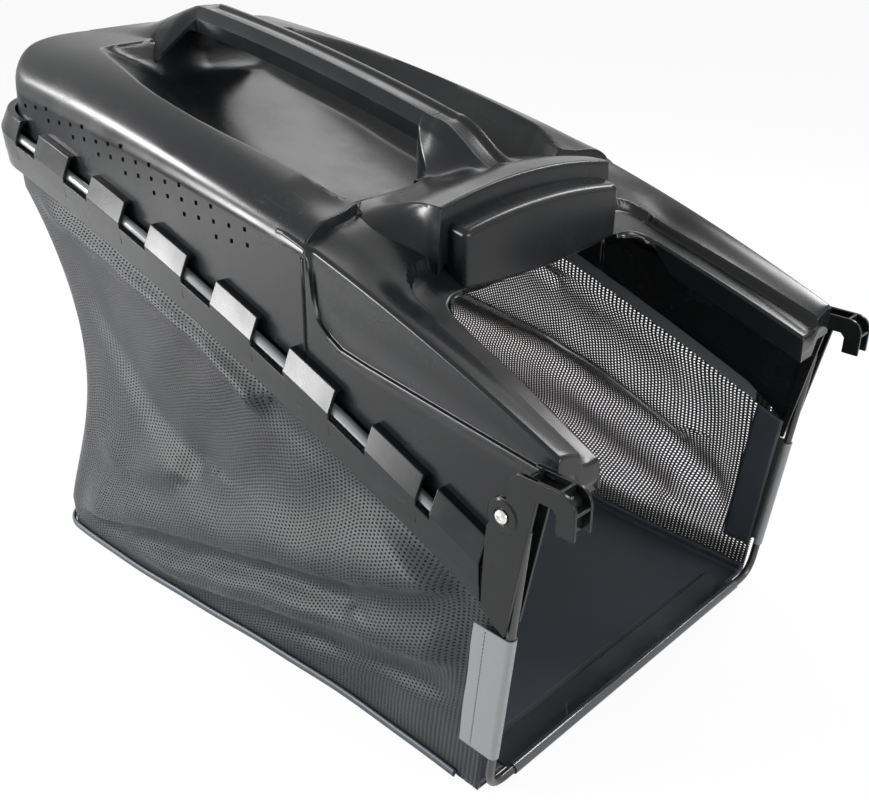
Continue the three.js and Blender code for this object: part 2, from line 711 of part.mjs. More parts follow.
// Diamond vent holes through both side walls.
function vents() {
  let holes = null;
  VENT_COUNTS.forEach((count, row) => {
    for (let i = 0; i < count; i++) {
      const y = VENT_FIRST_Y - row * VENT_ROW_PITCH - i * VENT_STEP_Y;
      const rowY = VENT_FIRST_Y - row * VENT_ROW_PITCH;
      const z = shoulderZ(rowY) - VENT_BELOW_SHOULDER - row * VENT_ROW_FALL + i * VENT_STEP_Z * 0.2;
      const shape = polygon([
        [y - VENT / 2, z],
        [y, z - VENT / 2],
        [y + VENT / 2, z],
        [y, z + VENT / 2],
      ]);
      for (const side of [-1, 1]) {
        const x = [side * (WALL_TOP_HALF - 4 * COVER_WALL), side * (RIM_HALF + OVERLAP)];
        x.sort((a, b) => a - b);
        const hole = crosswise(shape, ...x);
        holes = holes ? holes.add(hole) : hole;
      }
    }
  });
  return holes;
}

// Space in front of the side walls for the mouth wire and the brackets.
function mouthCut() {
  const top = shelfZ(ARM_FRONT_Y) - RIM_DEPTH;
  const opening = warped(1, 1, 1, (u, v, w) => {
    const z = lerp(60, top, w);
    const rear = mouthY(z) + WIRE_R + WIRE_SPACE;
    return [lerp(-FAR, FAR, u), v < 0.5 ? -FAR : rear, z];
  });
  const face = WALL_TOP_HALF - PANEL_SINK - CLEARANCE;
  const rear = mouthY(top) + WIRE_R + WIRE_SPACE;
  const z1 = HOOK_TOP_Z + CLEARANCE;
  return opening
    .add(box(face, FAR, -FAR, rear, top - OVERLAP, z1))
    .add(box(-FAR, -face, -FAR, rear, top - OVERLAP, z1));
}

function screwHoles(diameter) {
  const axis = new THREE.LineCurve3(
    new THREE.Vector3(-FAR, SCREW_Y, SCREW_Z),
    new THREE.Vector3(FAR, SCREW_Y, SCREW_Z),
  );
  return rod(axis, diameter / 2, 1, 12);
}

function topCover() {
  const outer = coverShape(0);
  const tub = recess(COVER_WALL).intersect(outer);
  const rim = notch(COVER_WALL)
    .subtract(notch(0))
    .intersect(aboveShelf(RIM_DEPTH))
    .intersect(outer);
  return outer
    .subtract(coverShape(COVER_WALL))
    .add(tub)
    .subtract(recess(0))
    .subtract(notch(0))
    .add(rim)
    .add(hood(0))
    .subtract(hoodPocket())
    .add(pillar())
    .add(handleBar(0).subtract(handleBar(COVER_WALL)))
    .subtract(mouthCut())
    .add(skirtAndPads())
    .subtract(vents())
    .subtract(screwHoles(SCREW_D + 2 * CLEARANCE));
}

// Side outline of the bracket's outer plate.
function plateOutline() {
  const shape = new THREE.Shape();
  shape.moveTo(PLATE_TIP.y, PLATE_TIP.z);
  shape.lineTo(PLATE_REAR_Y - CLEARANCE, skirtZ(PLATE_REAR_Y));
  shape.lineTo(PLATE_REAR_Y - 4, SCREW_Z - BOSS_R);
  shape.absarc(SCREW_Y, SCREW_Z, BOSS_R, -Math.PI / 5, Math.PI * 0.55, false);
  shape.lineTo(SCREW_Y - 9, HOOK_TOP_Z - 4);
  shape.lineTo(SCREW_Y - 15, HOOK_TOP_Z);
  shape.lineTo(PLATE_FRONT_TOP.y, HOOK_TOP_Z);
  shape.lineTo(PLATE_FRONT_TOP.y, PLATE_FRONT_TOP.z);
  shape.closePath();
  return shape;
}

// Side outline of the hook that hangs over the mower's rail.
function hookOutline() {
  const shape = new THREE.Shape();
  shape.moveTo(SCREW_Y - 13, PLATE_FRONT_TOP.z);
  shape.lineTo(SCREW_Y - 15, HOOK_TOP_Z);
  shape.lineTo(HOOK_FRONT_Y + HOOK_CORNER_R, HOOK_TOP_Z);
  shape.absarc(
    HOOK_FRONT_Y + HOOK_CORNER_R,
    HOOK_TOP_Z - HOOK_CORNER_R,
    HOOK_CORNER_R,
    Math.PI / 2,
    Math.PI,
    false,
  );
  shape.lineTo(HOOK_FRONT_Y, HOOK_TIP_Z);
  shape.lineTo(HOOK_FRONT_Y + HOOK_TIP_LENGTH, HOOK_TIP_Z);
  shape.lineTo(HOOK_FRONT_Y + HOOK_TIP_LENGTH, PLATE_FRONT_TOP.z);
  shape.closePath();
  return shape;
}

// Inner rib of the channel that the mouth wire stands in.
function ribOutline() {
  const behind = WIRE_R + WIRE_SPACE - CLEARANCE;
  const low = PLATE_TIP.z + 4;
  const high = PLATE_FRONT_TOP.z + OVERLAP;
  return polygon([
    [PLATE_TIP.y, low],
    [mouthY(low) + behind, low],
    [mouthY(high) + behind, high],
    [PLATE_FRONT_TOP.y, high],
  ]);
}

function hookBracket(side) {
  const span = (a, b) => [side * a, side * b].sort((p, q) => p - q);
  const plate = crosswise(plateOutline(), ...span(PLATE_OUT - PLATE_WALL, PLATE_OUT));
  const hook = crosswise(hookOutline(), ...span(BRACKET_IN, PLATE_OUT));
  const rib = crosswise(ribOutline(), ...span(BRACKET_IN, BRACKET_IN + RIB_WALL));
  const hollow = crosswise(
    polygon([
      [HOOK_FRONT_Y + 14, HOOK_TOP_Z - 6],
      [SCREW_Y - 24, HOOK_TOP_Z - 6],
      [SCREW_Y - 24, HOOK_TOP_Z + 1],
      [HOOK_FRONT_Y + 14, HOOK_TOP_Z + 1],
    ]),
    ...span(BRACKET_IN + RIB_WALL, PLATE_OUT - PLATE_WALL),
  );
  return plate
    .add(hook.subtract(hollow))
    .add(rib)
    .subtract(screwHoles(SCREW_D + 2 * CLEARANCE));
}

// Pan-head screw, with its head on the outer plate.
function bracketScrew(side) {
  const end = NUT_FACE - NUT_H - 2;
  const profile = [
    [0, end],
    [SCREW_D / 2, end],
    [SCREW_D / 2, PLATE_OUT + CLEARANCE],
    [SCREW_HEAD_D / 2, PLATE_OUT + CLEARANCE],
    [SCREW_HEAD_D / 2 - 0.4, PLATE_OUT + CLEARANCE + SCREW_HEAD_H * 0.6],
    [SCREW_HEAD_D / 2 - 2, PLATE_OUT + CLEARANCE + SCREW_HEAD_H],
    [0, PLATE_OUT + CLEARANCE + SCREW_HEAD_H],
  ].map(([r, h]) => new THREE.Vector2(r, h));
  const geometry = new THREE.LatheGeometry(profile, 16);
  geometry.rotateZ(-side * Math.PI / 2);
  geometry.translate(0, SCREW_Y, SCREW_Z);
  const top = PLATE_OUT + CLEARANCE + SCREW_HEAD_H;
  const span = [side * (top - 1.4), side * (top + 1)].sort((a, b) => a - b);
  const arm = SCREW_HEAD_D * 0.28;
  const slotA = box(...span, SCREW_Y - arm, SCREW_Y + arm, SCREW_Z - 0.6, SCREW_Z + 0.6);
  const slotB = box(...span, SCREW_Y - 0.6, SCREW_Y + 0.6, SCREW_Z - arm, SCREW_Z + arm);
  return solidOf(geometry).subtract(slotA).subtract(slotB);
}

function bracketNut(side) {
  const radius = NUT_FLATS / Math.sqrt(3);
  const corners = [];
  for (let i = 0; i < 6; i++) {
    const angle = (i * Math.PI) / 3;
    corners.push([SCREW_Y + radius * Math.cos(angle), SCREW_Z + radius * Math.sin(angle)]);
  }
  const span = [side * (NUT_FACE - NUT_H), side * NUT_FACE].sort((a, b) => a - b);
  return crosswise(polygon(corners), ...span).subtract(screwHoles(SCREW_D + 2 * CLEARANCE));
}

// Mouth wire: a U with leaning uprights that end inside the brackets.
function mouthWire() {
  const at = (x, z) => new THREE.Vector3(x, mouthY(z), z);
  const low = WIRE_CENTRE_Z;
  const [w, r] = [MOUTH_HALF_WIDTH, MOUTH_CORNER_R];
  const path = new THREE.CurvePath();
  path.add(new THREE.LineCurve3(at(-w, MOUTH_WIRE_TOP), at(-w, low + r)));
  path.add(new THREE.QuadraticBezierCurve3(at(-w, low + r), at(-w, low), at(-w + r, low)));
  path.add(new THREE.LineCurve3(at(-w + r, low), at(w - r, low)));
  path.add(new THREE.QuadraticBezierCurve3(at(w - r, low), at(w, low), at(w, low + r)));
  path.add(new THREE.LineCurve3(at(w, low + r), at(w, MOUTH_WIRE_TOP)));
  return rod(path, WIRE_R, 48, 8);
}

// Rim wire: round both sides and the rear, in the channel behind the skirt.
function rimWire() {
  const reach = rimRun(SKIRT_FRONT_Y + 4);
  const stations = rimStations(-reach, reach, 60);
  return bead(stations.length - 1, WIRE_R, 8, (k, dx, dz) =>
    rimPoint(stations[k], RIM_WIRE_OUT + dx, RIM_WIRE_UP + dz),
  );
}

// Section of a clip strip: a hook round the wire and a flat flange whose outer face lies at level.
function clipSection(flange, level) {
  const mouth = Math.PI / 3;
  const outStart = Math.asin(Math.max(-1, level / STRIP_OUT_R));
  const inStart = Math.asin(Math.max(-1, (level + STRIP_WALL) / STRIP_IN_R));
  const shape = new THREE.Shape();
  shape.moveTo(flange, level);
  shape.lineTo(flange, level + STRIP_WALL);
  shape.lineTo(STRIP_IN_R * Math.cos(inStart), level + STRIP_WALL);
  shape.absarc(0, 0, STRIP_IN_R, inStart, mouth, true);
  shape.lineTo(STRIP_OUT_R * Math.cos(mouth), STRIP_OUT_R * Math.sin(mouth));
  shape.absarc(0, 0, STRIP_OUT_R, mouth, outStart, false);
  shape.closePath();
  return shape;
}

// Upright clip strip on one side of the mouth, with its flange along the side of the bag.
function mouthStrip(side) {
  const shape = clipSection(MOUTH_FLANGE, -STRIP_OUT_R);
  const geometry = new THREE.ExtrudeGeometry(shape, {
    depth: MOUTH_STRIP_TOP - MOUTH_STRIP_LOW,
    bevelEnabled: false,
    curveSegments: 10,
  });
  const position = geometry.attributes.position;
  for (let i = 0; i < position.count; i++) {
    const back = position.getX(i);
    const outward = -position.getY(i);
    const z = MOUTH_STRIP_LOW + position.getZ(i);
    position.setXYZ(i, side * (MOUTH_HALF_WIDTH + outward), mouthY(z) + back, z);
  }
  return solidOf(geometry);
}

// Clip strip along the bottom wire, with its flange on the floor of the bag.
function bottomStrip() {
  const shape = clipSection(MOUTH_FLANGE, VINYL + CLEARANCE - STRIP_OUT_R);
  const half = MOUTH_HALF_WIDTH - MOUTH_CORNER_R - 8;
  const geometry = new THREE.ExtrudeGeometry(shape, {
    depth: 2 * half,
    bevelEnabled: false,
    curveSegments: 10,
  });
  const position = geometry.attributes.position;
  for (let i = 0; i < position.count; i++) {
    const back = position.getX(i);
    const up = position.getY(i);
    const x = position.getZ(i) - half;
    position.setXYZ(i, x, back, WIRE_CENTRE_Z + up);
  }
  return solidOf(geometry);
}

// Clip strip over the rim wire; its flange hangs on the inner side.
function rimClip(t0, t1) {
  const outer = [];
  const inner = [];
  const steps = 8;
  for (let i = 0; i <= steps; i++) {
    const angle = (Math.PI * i) / steps;
    const [c, s] = [Math.cos(angle), Math.sin(angle)];
    outer.push([RIM_WIRE_OUT + STRIP_OUT_R * c, RIM_WIRE_UP + STRIP_OUT_R * s]);
    inner.push([RIM_WIRE_OUT + STRIP_IN_R * c, RIM_WIRE_UP + STRIP_IN_R * s]);
  }
  const foot = RIM_WIRE_UP - RIM_FLANGE;
  outer.push([RIM_WIRE_OUT - STRIP_OUT_R, foot]);
  inner.push([RIM_WIRE_OUT - STRIP_IN_R, foot]);
  return rimStrip(t0, t1, outer, inner);
}

// Fabric line at the top, just outside the flange of the rim clip.
const FABRIC_TOP_OUT = RIM_WIRE_OUT - STRIP_IN_R + CLEARANCE;

// Half width of the bag at the ground.
function floorHalf(y) {
  const end = BAG_FLOOR_REAR_Y - BAG_SPREAD_END;
  const t = clamp((y - BAG_SPREAD_FROM_Y) / (end - BAG_SPREAD_FROM_Y), 0, 1);
  return lerp(BAG_FLOOR_FRONT_HALF, BAG_FLOOR_REAR_HALF, t * t * (3 - 2 * t));
}

// Inner face of the bag's walls. u runs to the rear, w is the height as a share of the wall, and
// out moves the point outwards. The walls stand straight beside the tray and just under the rim.
const BAG_ROWS = 16;
const TRAY_SHARE = 1 / BAG_ROWS;
const HANG_FROM = 1 - 2 / BAG_ROWS;
const wallRise = (w) => clamp((w - TRAY_SHARE) / (HANG_FROM - TRAY_SHARE), 0, 1);

function wallZ(w, y) {
  if (w <= TRAY_SHARE) return (TRAY_HEIGHT * w) / TRAY_SHARE;
  return lerp(TRAY_HEIGHT, skirtZ(y) + BAG_TOP, (w - TRAY_SHARE) / (1 - TRAY_SHARE));
}

function bagRearY(w) {
  const rise = wallRise(w);
  const plane = lerp(BAG_FLOOR_REAR_Y, RIM_REAR_Y + FABRIC_TOP_OUT, Math.pow(rise, 3));
  return plane - BAG_REAR_HOLLOW * Math.sin(Math.PI * rise);
}

function bagCornerR(w) {
  return lerp(BAG_CORNER_R, REAR_CORNER_R + FABRIC_TOP_OUT, wallRise(w));
}

// Place along and up a side wall at the shares u and w.
function wallPlace(u, w) {
  const front = mouthY(wallZ(w, 0)) + STRIP_OUT_R + 2;
  const y = lerp(front, bagRearY(w) - bagCornerR(w), u);
  return [y, wallZ(w, y), y - front];
}

// The folds of one side with their points set out along and up the wall.
const setOut = (folds) =>
  folds.map(({ run, height, width }) => ({
    line: run.map(([u, w]) => new THREE.Vector2(...wallPlace(u, w).slice(0, 2))),
    height,
    width,
  }));
const FOLDS = { "-1": setOut(LEFT_FOLDS), 1: setOut(RIGHT_FOLDS) };

// How far the folds of one side push the cloth out at y, z.
function foldLift(side, y, z) {
  const here = new THREE.Vector2(y, z);
  let lift = 0;
  for (const { line, height, width } of FOLDS[side]) {
    let gap = Infinity;
    for (let i = 1; i < line.length; i++) {
      const step = line[i].clone().sub(line[i - 1]);
      const t = clamp(here.clone().sub(line[i - 1]).dot(step) / step.lengthSq(), 0, 1);
      gap = Math.min(gap, here.distanceTo(line[i - 1].clone().addScaledVector(step, t)));
    }
    lift += height * Math.exp(-((gap / width) ** 2));
  }
  return lift;
}

function bagSidePoint(side, u, w, out) {
  const rise = wallRise(w);
  const [y, z, fromFront] = wallPlace(u, w);
  const top = RIM_HALF + FABRIC_TOP_OUT;
  const calm = clamp(u * 6, 0, 1) * clamp((1 - rise) * 5, 0, 1) * clamp(rise * 6, 0, 1);
  const bulge = BAG_BULGE * Math.sin(Math.PI * rise) * calm * Math.sin(Math.PI * u);
  const free =
    clamp((fromFront - FOLD_CALM.front) / FOLD_CALM.edge, 0, 1) *
    clamp((skirtZ(y) - FOLD_CALM.rim - z) / FOLD_CALM.edge, 0, 1) *
    clamp((z - TRAY_HEIGHT - FOLD_CALM.tray) / FOLD_CALM.edge, 0, 1) *
    clamp((1 - u) * 8, 0, 1);
  const folds = foldLift(side, y, z) * free;
  const x = lerp(floorHalf(y), top, rise * rise * (3 - 2 * rise)) + bulge + folds + out;
  return [side * x, y, z];
}

// A sheet that follows a side wall of the bag, from the ground to the share top.
const SIDE_ROWS = 28;
function sideSheet(side, top, rows, out0, out1) {
  return warped(SIDE_ROWS, rows, 1, (u, v, w) =>
    bagSidePoint(side, u, v * top, w < 0.5 ? out0 : out1),
  );
}

// A sheet that follows the rear wall of the bag with both rear corners.
const CORNER_ROWS = 5;
const REAR_ROWS = 8;
function rearPoint(k, w, out) {
  const count = 2 * CORNER_ROWS + REAR_ROWS;
  const side = k <= count / 2 ? -1 : 1;
  const step = k <= count / 2 ? k : count - k;
  const r = bagCornerR(w);
  const [edgeX, edgeY, edgeZ] = bagSidePoint(1, 1, w, 0);
  const z = wallZ(w, RIM_REAR_Y);
  if (step <= CORNER_ROWS) {
    const turn = (Math.PI / 2) * (step / CORNER_ROWS);
    const x = edgeX - r + (r + out) * Math.cos(turn);
    return [side * x, edgeY + (r + out) * Math.sin(turn), lerp(edgeZ, z, step / CORNER_ROWS)];
  }
  const share = (step - CORNER_ROWS) / (REAR_ROWS / 2);
  const sag = 4 * Math.sin(Math.PI * wallRise(w)) * Math.sin((Math.PI / 2) * share);
  return [side * (edgeX - r) * (1 - share), edgeY + r + out - sag, z];
}

function rearSheet(top, rows, out0, out1) {
  const count = 2 * CORNER_ROWS + REAR_ROWS;
  return warped(count, rows, 1, (u, v, w) =>
    rearPoint(Math.round(u * count), v * top, w < 0.5 ? out0 : out1),
  );
}

// Mesh side wall, and the mesh rear wall that laps outside it at the corners.
function sidePanel(side) {
  return sideSheet(side, 1, BAG_ROWS, 0, FABRIC);
}

function rearPanel() {
  const lap = FABRIC + CLEARANCE;
  return rearSheet(1, BAG_ROWS, lap, lap + FABRIC);
}

// Vinyl floor with its edges turned up inside the mesh walls.
function floorPanel() {
  const outer = -CLEARANCE;
  const edge = [];
  for (let i = 0; i <= SIDE_ROWS; i++) {
    edge.push(bagSidePoint(1, i / SIDE_ROWS, 0, outer).slice(0, 2));
  }
  for (let k = CORNER_ROWS - 1; k >= 0; k--) {
    const [x, y] = rearPoint(CORNER_ROWS - k, 0, outer);
    edge.push([-x, y]);
  }
  const mirrored = edge.map(([x, y]) => [-x, y]).reverse();
  const sheet = upright(polygon([...edge, ...mirrored]), 0, VINYL);
  return sheet
    .add(sideSheet(-1, TRAY_SHARE, 1, outer - VINYL, outer))
    .add(sideSheet(1, TRAY_SHARE, 1, outer - VINYL, outer))
    .add(rearSheet(TRAY_SHARE, 1, outer - VINYL, outer));
}

// Vinyl band inside each front edge of the mesh.
function frontBinding(side) {
  return warped(1, 8, 1, (u, v, w) => {
    const share = lerp(0.17, 0.86, v);
    const [x, y, z] = bagSidePoint(1, 0, share, 0);
    const out = w < 0.5 ? -CLEARANCE - FABRIC : -CLEARANCE;
    return [side * (x + out), y + 1 + u * BINDING_WIDTH, z];
  });
}

// Sewn edging round the ground line of the bag.
function bottomPiping(side) {
  const out = FABRIC + 2 * CLEARANCE + PIPING_D / 2;
  return bead(SIDE_ROWS - 1, PIPING_D / 2, 8, (k, dx, dz) => {
    const [x, y] = bagSidePoint(1, (k + (k === 0 ? 0.6 : 0)) / SIDE_ROWS, 0, out + dx);
    return [side * x, y, PIPING_D / 2 + dz];
  });
}

function rearPiping() {
  const out = 2 * FABRIC + 3 * CLEARANCE + PIPING_D / 2;
  return bead(2 * CORNER_ROWS + REAR_ROWS, PIPING_D / 2, 8, (k, dx, dz) => {
    const [x, y] = rearPoint(k, 0, out + dx);
    return [x, y, PIPING_D / 2 + dz];
  });
}

const catcher = new THREE.Group();
catcher.name = "grass_catcher";

catcher.add(meshOf("top_cover", topCover(), BLACK_PLASTIC));
catcher.add(meshOf("mouth_wire", mouthWire(), BLACK_WIRE));
catcher.add(meshOf("rim_wire", rimWire(), BLACK_WIRE));
catcher.add(meshOf("mouth_strip_bottom", bottomStrip(), STRIP_PLASTIC));

const cornerStart = RIM_REAR_HALF + RIM_CORNER + 6;
const sideEnd = rimRun(SKIRT_FRONT_Y + 10);
catcher.add(meshOf("rim_strip_rear", rimClip(-RIM_REAR_HALF + 4, RIM_REAR_HALF - 4), STRIP_PLASTIC));
catcher.add(meshOf("rim_strip_right", rimClip(cornerStart, sideEnd), STRIP_PLASTIC));
catcher.add(meshOf("rim_strip_left", rimClip(-sideEnd, -cornerStart), STRIP_PLASTIC));

for (const [label, side] of [["left", -1], ["right", 1]]) {
  catcher.add(meshOf(`hook_bracket_${label}`, hookBracket(side), BRACKET_PLASTIC));
  catcher.add(meshOf(`bracket_screw_${label}`, bracketScrew(side), ZINC));
  catcher.add(meshOf(`bracket_nut_${label}`, bracketNut(side), ZINC));
  catcher.add(meshOf(`mouth_strip_${label}`, mouthStrip(side), STRIP_PLASTIC));
  catcher.add(meshOf(`side_panel_${label}`, sidePanel(side), MESH_FABRIC));
  catcher.add(meshOf(`front_binding_${label}`, frontBinding(side), GREY_VINYL));
  catcher.add(meshOf(`bottom_piping_${label}`, bottomPiping(side), GREY_VINYL));
}
catcher.add(meshOf("rear_panel", rearPanel(), MESH_FABRIC));
catcher.add(meshOf("floor_panel", floorPanel(), GREY_VINYL));
catcher.add(meshOf("bottom_piping_rear", rearPiping(), GREY_VINYL));

// The part's own frame has its origin on the ground, half way along the whole length.
const LENGTH_FRONT_Y = HOOK_FRONT_Y;
const LENGTH_REAR_Y = RIM_REAR_Y + SKIRT_OUT;
catcher.position.y = -(LENGTH_FRONT_Y + LENGTH_REAR_Y) / 2;

export default catcher;
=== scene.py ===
"""Grass catcher for a walk-behind mower, dressed for rendering.

Shapes are worked out in millimetres in a working frame whose y = 0 is the bottom wire of the mouth
and whose z = 0 is the ground. ORIGIN_Y moves them to the part's own frame, in metres.
"""

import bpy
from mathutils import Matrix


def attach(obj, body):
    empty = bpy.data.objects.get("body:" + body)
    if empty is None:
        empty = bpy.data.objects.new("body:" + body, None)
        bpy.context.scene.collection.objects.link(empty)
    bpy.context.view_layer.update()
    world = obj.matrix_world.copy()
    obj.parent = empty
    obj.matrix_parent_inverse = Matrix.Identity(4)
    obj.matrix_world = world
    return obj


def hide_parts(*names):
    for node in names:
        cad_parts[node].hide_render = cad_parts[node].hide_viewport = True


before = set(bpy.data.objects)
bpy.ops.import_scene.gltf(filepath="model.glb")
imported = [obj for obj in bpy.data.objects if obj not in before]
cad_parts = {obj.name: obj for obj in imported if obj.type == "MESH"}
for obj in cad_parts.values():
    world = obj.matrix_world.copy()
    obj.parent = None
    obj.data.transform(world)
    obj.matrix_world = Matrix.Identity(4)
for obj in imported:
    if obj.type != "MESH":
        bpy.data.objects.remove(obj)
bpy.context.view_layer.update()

import logging
import math
from collections.abc import Callable, Sequence
from dataclasses import dataclass, field
from enum import Enum

import bmesh
import bpy
import numpy as np
from mathutils import Matrix, Vector

LOG = logging.getLogger("grass_catcher")

ORIGIN_Y = 275.6
BODY = "root"
SIDES = {-1: "left", 1: "right"}
REAR_Y = 600.0
MOUTH_LEAN = 0.11
WIRE_Z = 4.3

Array = np.ndarray
Object = bpy.types.Object
Material = bpy.types.Material
NodeTree = bpy.types.NodeTree
Socket = bpy.types.NodeSocket


# Plain functions of numbers

def lerp(a: Array | float, b: Array | float, t: Array | float) -> Array:
    """Value between a and b at share t."""
    return a + (b - a) * t


def ramp(t: Array | float) -> Array:
    """Smooth step from 0 to 1 as t goes from 0 to 1."""
    t = np.clip(t, 0.0, 1.0)
    return t * t * (3.0 - 2.0 * t)


def soft_max(a: Array, b: Array, width: float) -> Array:
    """Larger of a and b, with a fillet where they cross."""
    blend = np.clip(width - np.abs(a - b), 0.0, None) / width
    return np.maximum(a, b) + blend * blend * width / 4.0


def soft_min(a: Array, b: Array, width: float) -> Array:
    """Smaller of a and b, with a rounding where they cross."""
    return -soft_max(-a, -b, width)


def edge_drop(inside: Array, radius: float) -> Array:
    """Drop of a surface near its edge, as a quarter round of the given radius."""
    depth = np.clip(radius - np.clip(inside, 0.0, None), 0.0, radius)
    return radius - np.sqrt(np.clip(radius * radius - depth * depth, 0.0, None))


@dataclass(frozen=True)
class LongLine:
    """A height that runs along the part and arches between its two ends."""

    front: float
    rear: float
    arch: float
    y0: float
    y1: float

    def at(self, y: Array | float) -> Array:
        """Height at y."""
        t = np.clip((np.asarray(y, float) - self.y0) / (self.y1 - self.y0), -0.2, 1.1)
        return lerp(self.front, self.rear, t) + self.arch * 4.0 * t * (1.0 - t)


SKIRT_LINE = LongLine(159.5, 343.0, 16.0, 0.0, REAR_Y)
CREST_LINE = LongLine(371.0, 440.0, 9.0, 190.0, 590.0)
SHOULDER_LINE = LongLine(347.0, 407.0, 3.0, 177.0, 590.0)
ARM_LINE = LongLine(273.0, 348.0, 4.0, -36.0, 177.0)
BAR_LINE = LongLine(401.0, 462.0, 5.0, 200.0, 512.0)
RECESS_LINE = LongLine(315.0, 408.0, -14.0, 190.0, 524.0)


def mouth_y(z: Array | float) -> Array:
    """Place of the leaning mouth plane at height z."""
    return -MOUTH_LEAN * (np.asarray(z, float) - WIRE_Z)


# Mesh making

def round_steps(radius: float, count: int) -> Array:
    """Steps across a quarter round of the given radius, closest together where it is steep."""
    return radius * (1.0 - np.cos(np.linspace(0, np.pi / 2, count)))


def xyz(x: Array | float, y: Array | float, z: Array | float) -> Array:
    """Points from their three measures, each an array or a single number."""
    return np.stack(np.broadcast_arrays(x, y, z), axis=-1)


def arc(
    centre: Sequence[float], radius: float, start: float, end: float, count: int
) -> list[tuple[float, float]]:
    """Points along an arc round centre, from one angle to another."""
    turns = np.linspace(start, end, count)
    return [(centre[0] + radius * math.cos(a), centre[1] + radius * math.sin(a)) for a in turns]


def mesh_piece(name: str, points: Array, faces: Sequence[Sequence[int]]) -> Object:
    """Make a smooth object from working-frame points.

    Args:
        name: Name of the object.
        points: Points in millimetres, n by 3.
        faces: Corner indices of each face.

    Returns:
        The new object, at the origin.
    """
    place = np.asarray(points, float).copy()
    place[:, 1] -= ORIGIN_Y
    mesh = bpy.data.meshes.new(name)
    mesh.from_pydata((place / 1000.0).tolist(), [], [list(map(int, f)) for f in faces])
    mesh.validate()
    mesh.shade_smooth()
    obj = bpy.data.objects.new(name, mesh)
    bpy.context.scene.collection.objects.link(obj)
    return obj


def grid_faces(
    rows: int, cols: int, start: int = 0, wrap: bool = False, flip: bool = False
) -> list[list[int]]:
    """Faces of a grid of rows by cols points, numbered from start.

    Args:
        rows: Number of rows of points.
        cols: Number of points in a row.
        start: Index of the first point.
        wrap: Whether each row closes on itself.
        flip: Whether the faces are turned over.

    Returns:
        One list of four indices for each face.
    """
    faces = []
    for r in range(rows - 1):
        here = start + r * cols
        above = here + cols
        for c in range(cols if wrap else cols - 1):
            d = (c + 1) % cols
            quad = [here + c, here + d, above + d, above + c]
            faces.append(quad[::-1] if flip else quad)
    return faces


def clean(mesh: bpy.types.Mesh, weld: float, outward: bool = True) -> None:
    """Join doubled points and turn the faces outward.

    Args:
        mesh: The mesh.
        weld: Distance in metres within which points are joined.
        outward: Whether the faces are turned outward.
    """
    work = bmesh.new()
    work.from_mesh(mesh)
    if weld > 0:
        bmesh.ops.remove_doubles(work, verts=work.verts, dist=weld)
    if outward:
        bmesh.ops.recalc_face_normals(work, faces=work.faces)
    work.to_mesh(mesh)
    work.free()


class MeshStore:
    """Collects points and faces of several patches for one object."""

    def __init__(self) -> None:
        """Start empty."""
        self.points: list[Array] = []
        self.faces: list[list[int]] = []
        self.count = 0

    def grid(self, points: Array, wrap: bool = False, flip: bool = False) -> "MeshStore":
        """Add a grid of points.

        Args:
            points: Points, rows by columns by 3.
            wrap: Whether each row closes on itself.
            flip: Whether the faces are turned over.

        Returns:
            The store itself.
        """
        rows, cols = points.shape[:2]
        self.faces += grid_faces(rows, cols, self.count, wrap, flip)
        self.points.append(points.reshape(-1, 3))
        self.count += rows * cols
        return self

    def tube(self, rings: Array, flip: bool = False) -> "MeshStore":
        """Add closed rings, each joined to the next, with both ends capped.

        Args:
            rings: Points, rings by points of a ring by 3.
            flip: Whether the faces are turned over.

        Returns:
            The store itself.
        """
        rows, cols = rings.shape[:2]
        base = self.count
        self.grid(rings, wrap=True, flip=flip)
        first = list(range(base, base + cols))
        last = list(range(base + (rows - 1) * cols, base + rows * cols))
        self.faces.append(first if flip else first[::-1])
        self.faces.append(last[::-1] if flip else last)
        return self

    def build(self, name: str, sharp_deg: float = 35.0, weld: float = 0.0) -> Object:
        """Make the object.

        Args:
            name: Name of the object.
            sharp_deg: Edges bent more than this are shaded sharp.
            weld: Distance in metres within which points are joined.

        Returns:
            The new object, its faces turned outward.
        """
        obj = mesh_piece(name, np.concatenate(self.points), self.faces)
        clean(obj.data, weld)
        obj.data.set_sharp_from_angle(angle=math.radians(sharp_deg))
        return obj


def sweep(path: Array, radius: float, sides: int = 12) -> Array:
    """Rings of a round tube along a path.

    Args:
        path: Points of the centre line, n by 3, in millimetres.
        radius: Radius of the tube.
        sides: Points in each ring.

    Returns:
        Rings, n by sides by 3.
    """
    tangent = np.gradient(path, axis=0)
    tangent /= np.linalg.norm(tangent, axis=1, keepdims=True)
    normal = np.zeros_like(path)
    guide = np.array([0.0, 0.0, 1.0]) if abs(tangent[0][2]) < 0.9 else np.array([1.0, 0.0, 0.0])
    for i, direction in enumerate(tangent):
        guide = guide - direction * np.dot(guide, direction)
        guide = guide / np.linalg.norm(guide)
        normal[i] = guide
    side = np.cross(tangent, normal)
    angle = np.linspace(0, 2 * np.pi, sides, endpoint=False)
    ring = normal[:, None] * np.cos(angle)[None, :, None] + side[:, None] * np.sin(angle)[None, :, None]
    return path[:, None] + radius * ring


def resample(path: Array, spacing: float) -> Array:
    """Points along a path at even spacing.

    Args:
        path: Points of the path, n by 3.
        spacing: Distance between the new points.

    Returns:
        The new points, with both ends kept.
    """
    step = np.linalg.norm(np.diff(path, axis=0), axis=1)
    run = np.concatenate([[0.0], np.cumsum(step)])
    count = max(2, int(round(run[-1] / spacing)) + 1)
    at = np.linspace(0, run[-1], count)
    return np.stack([np.interp(at, run, path[:, k]) for k in range(3)], axis=1)


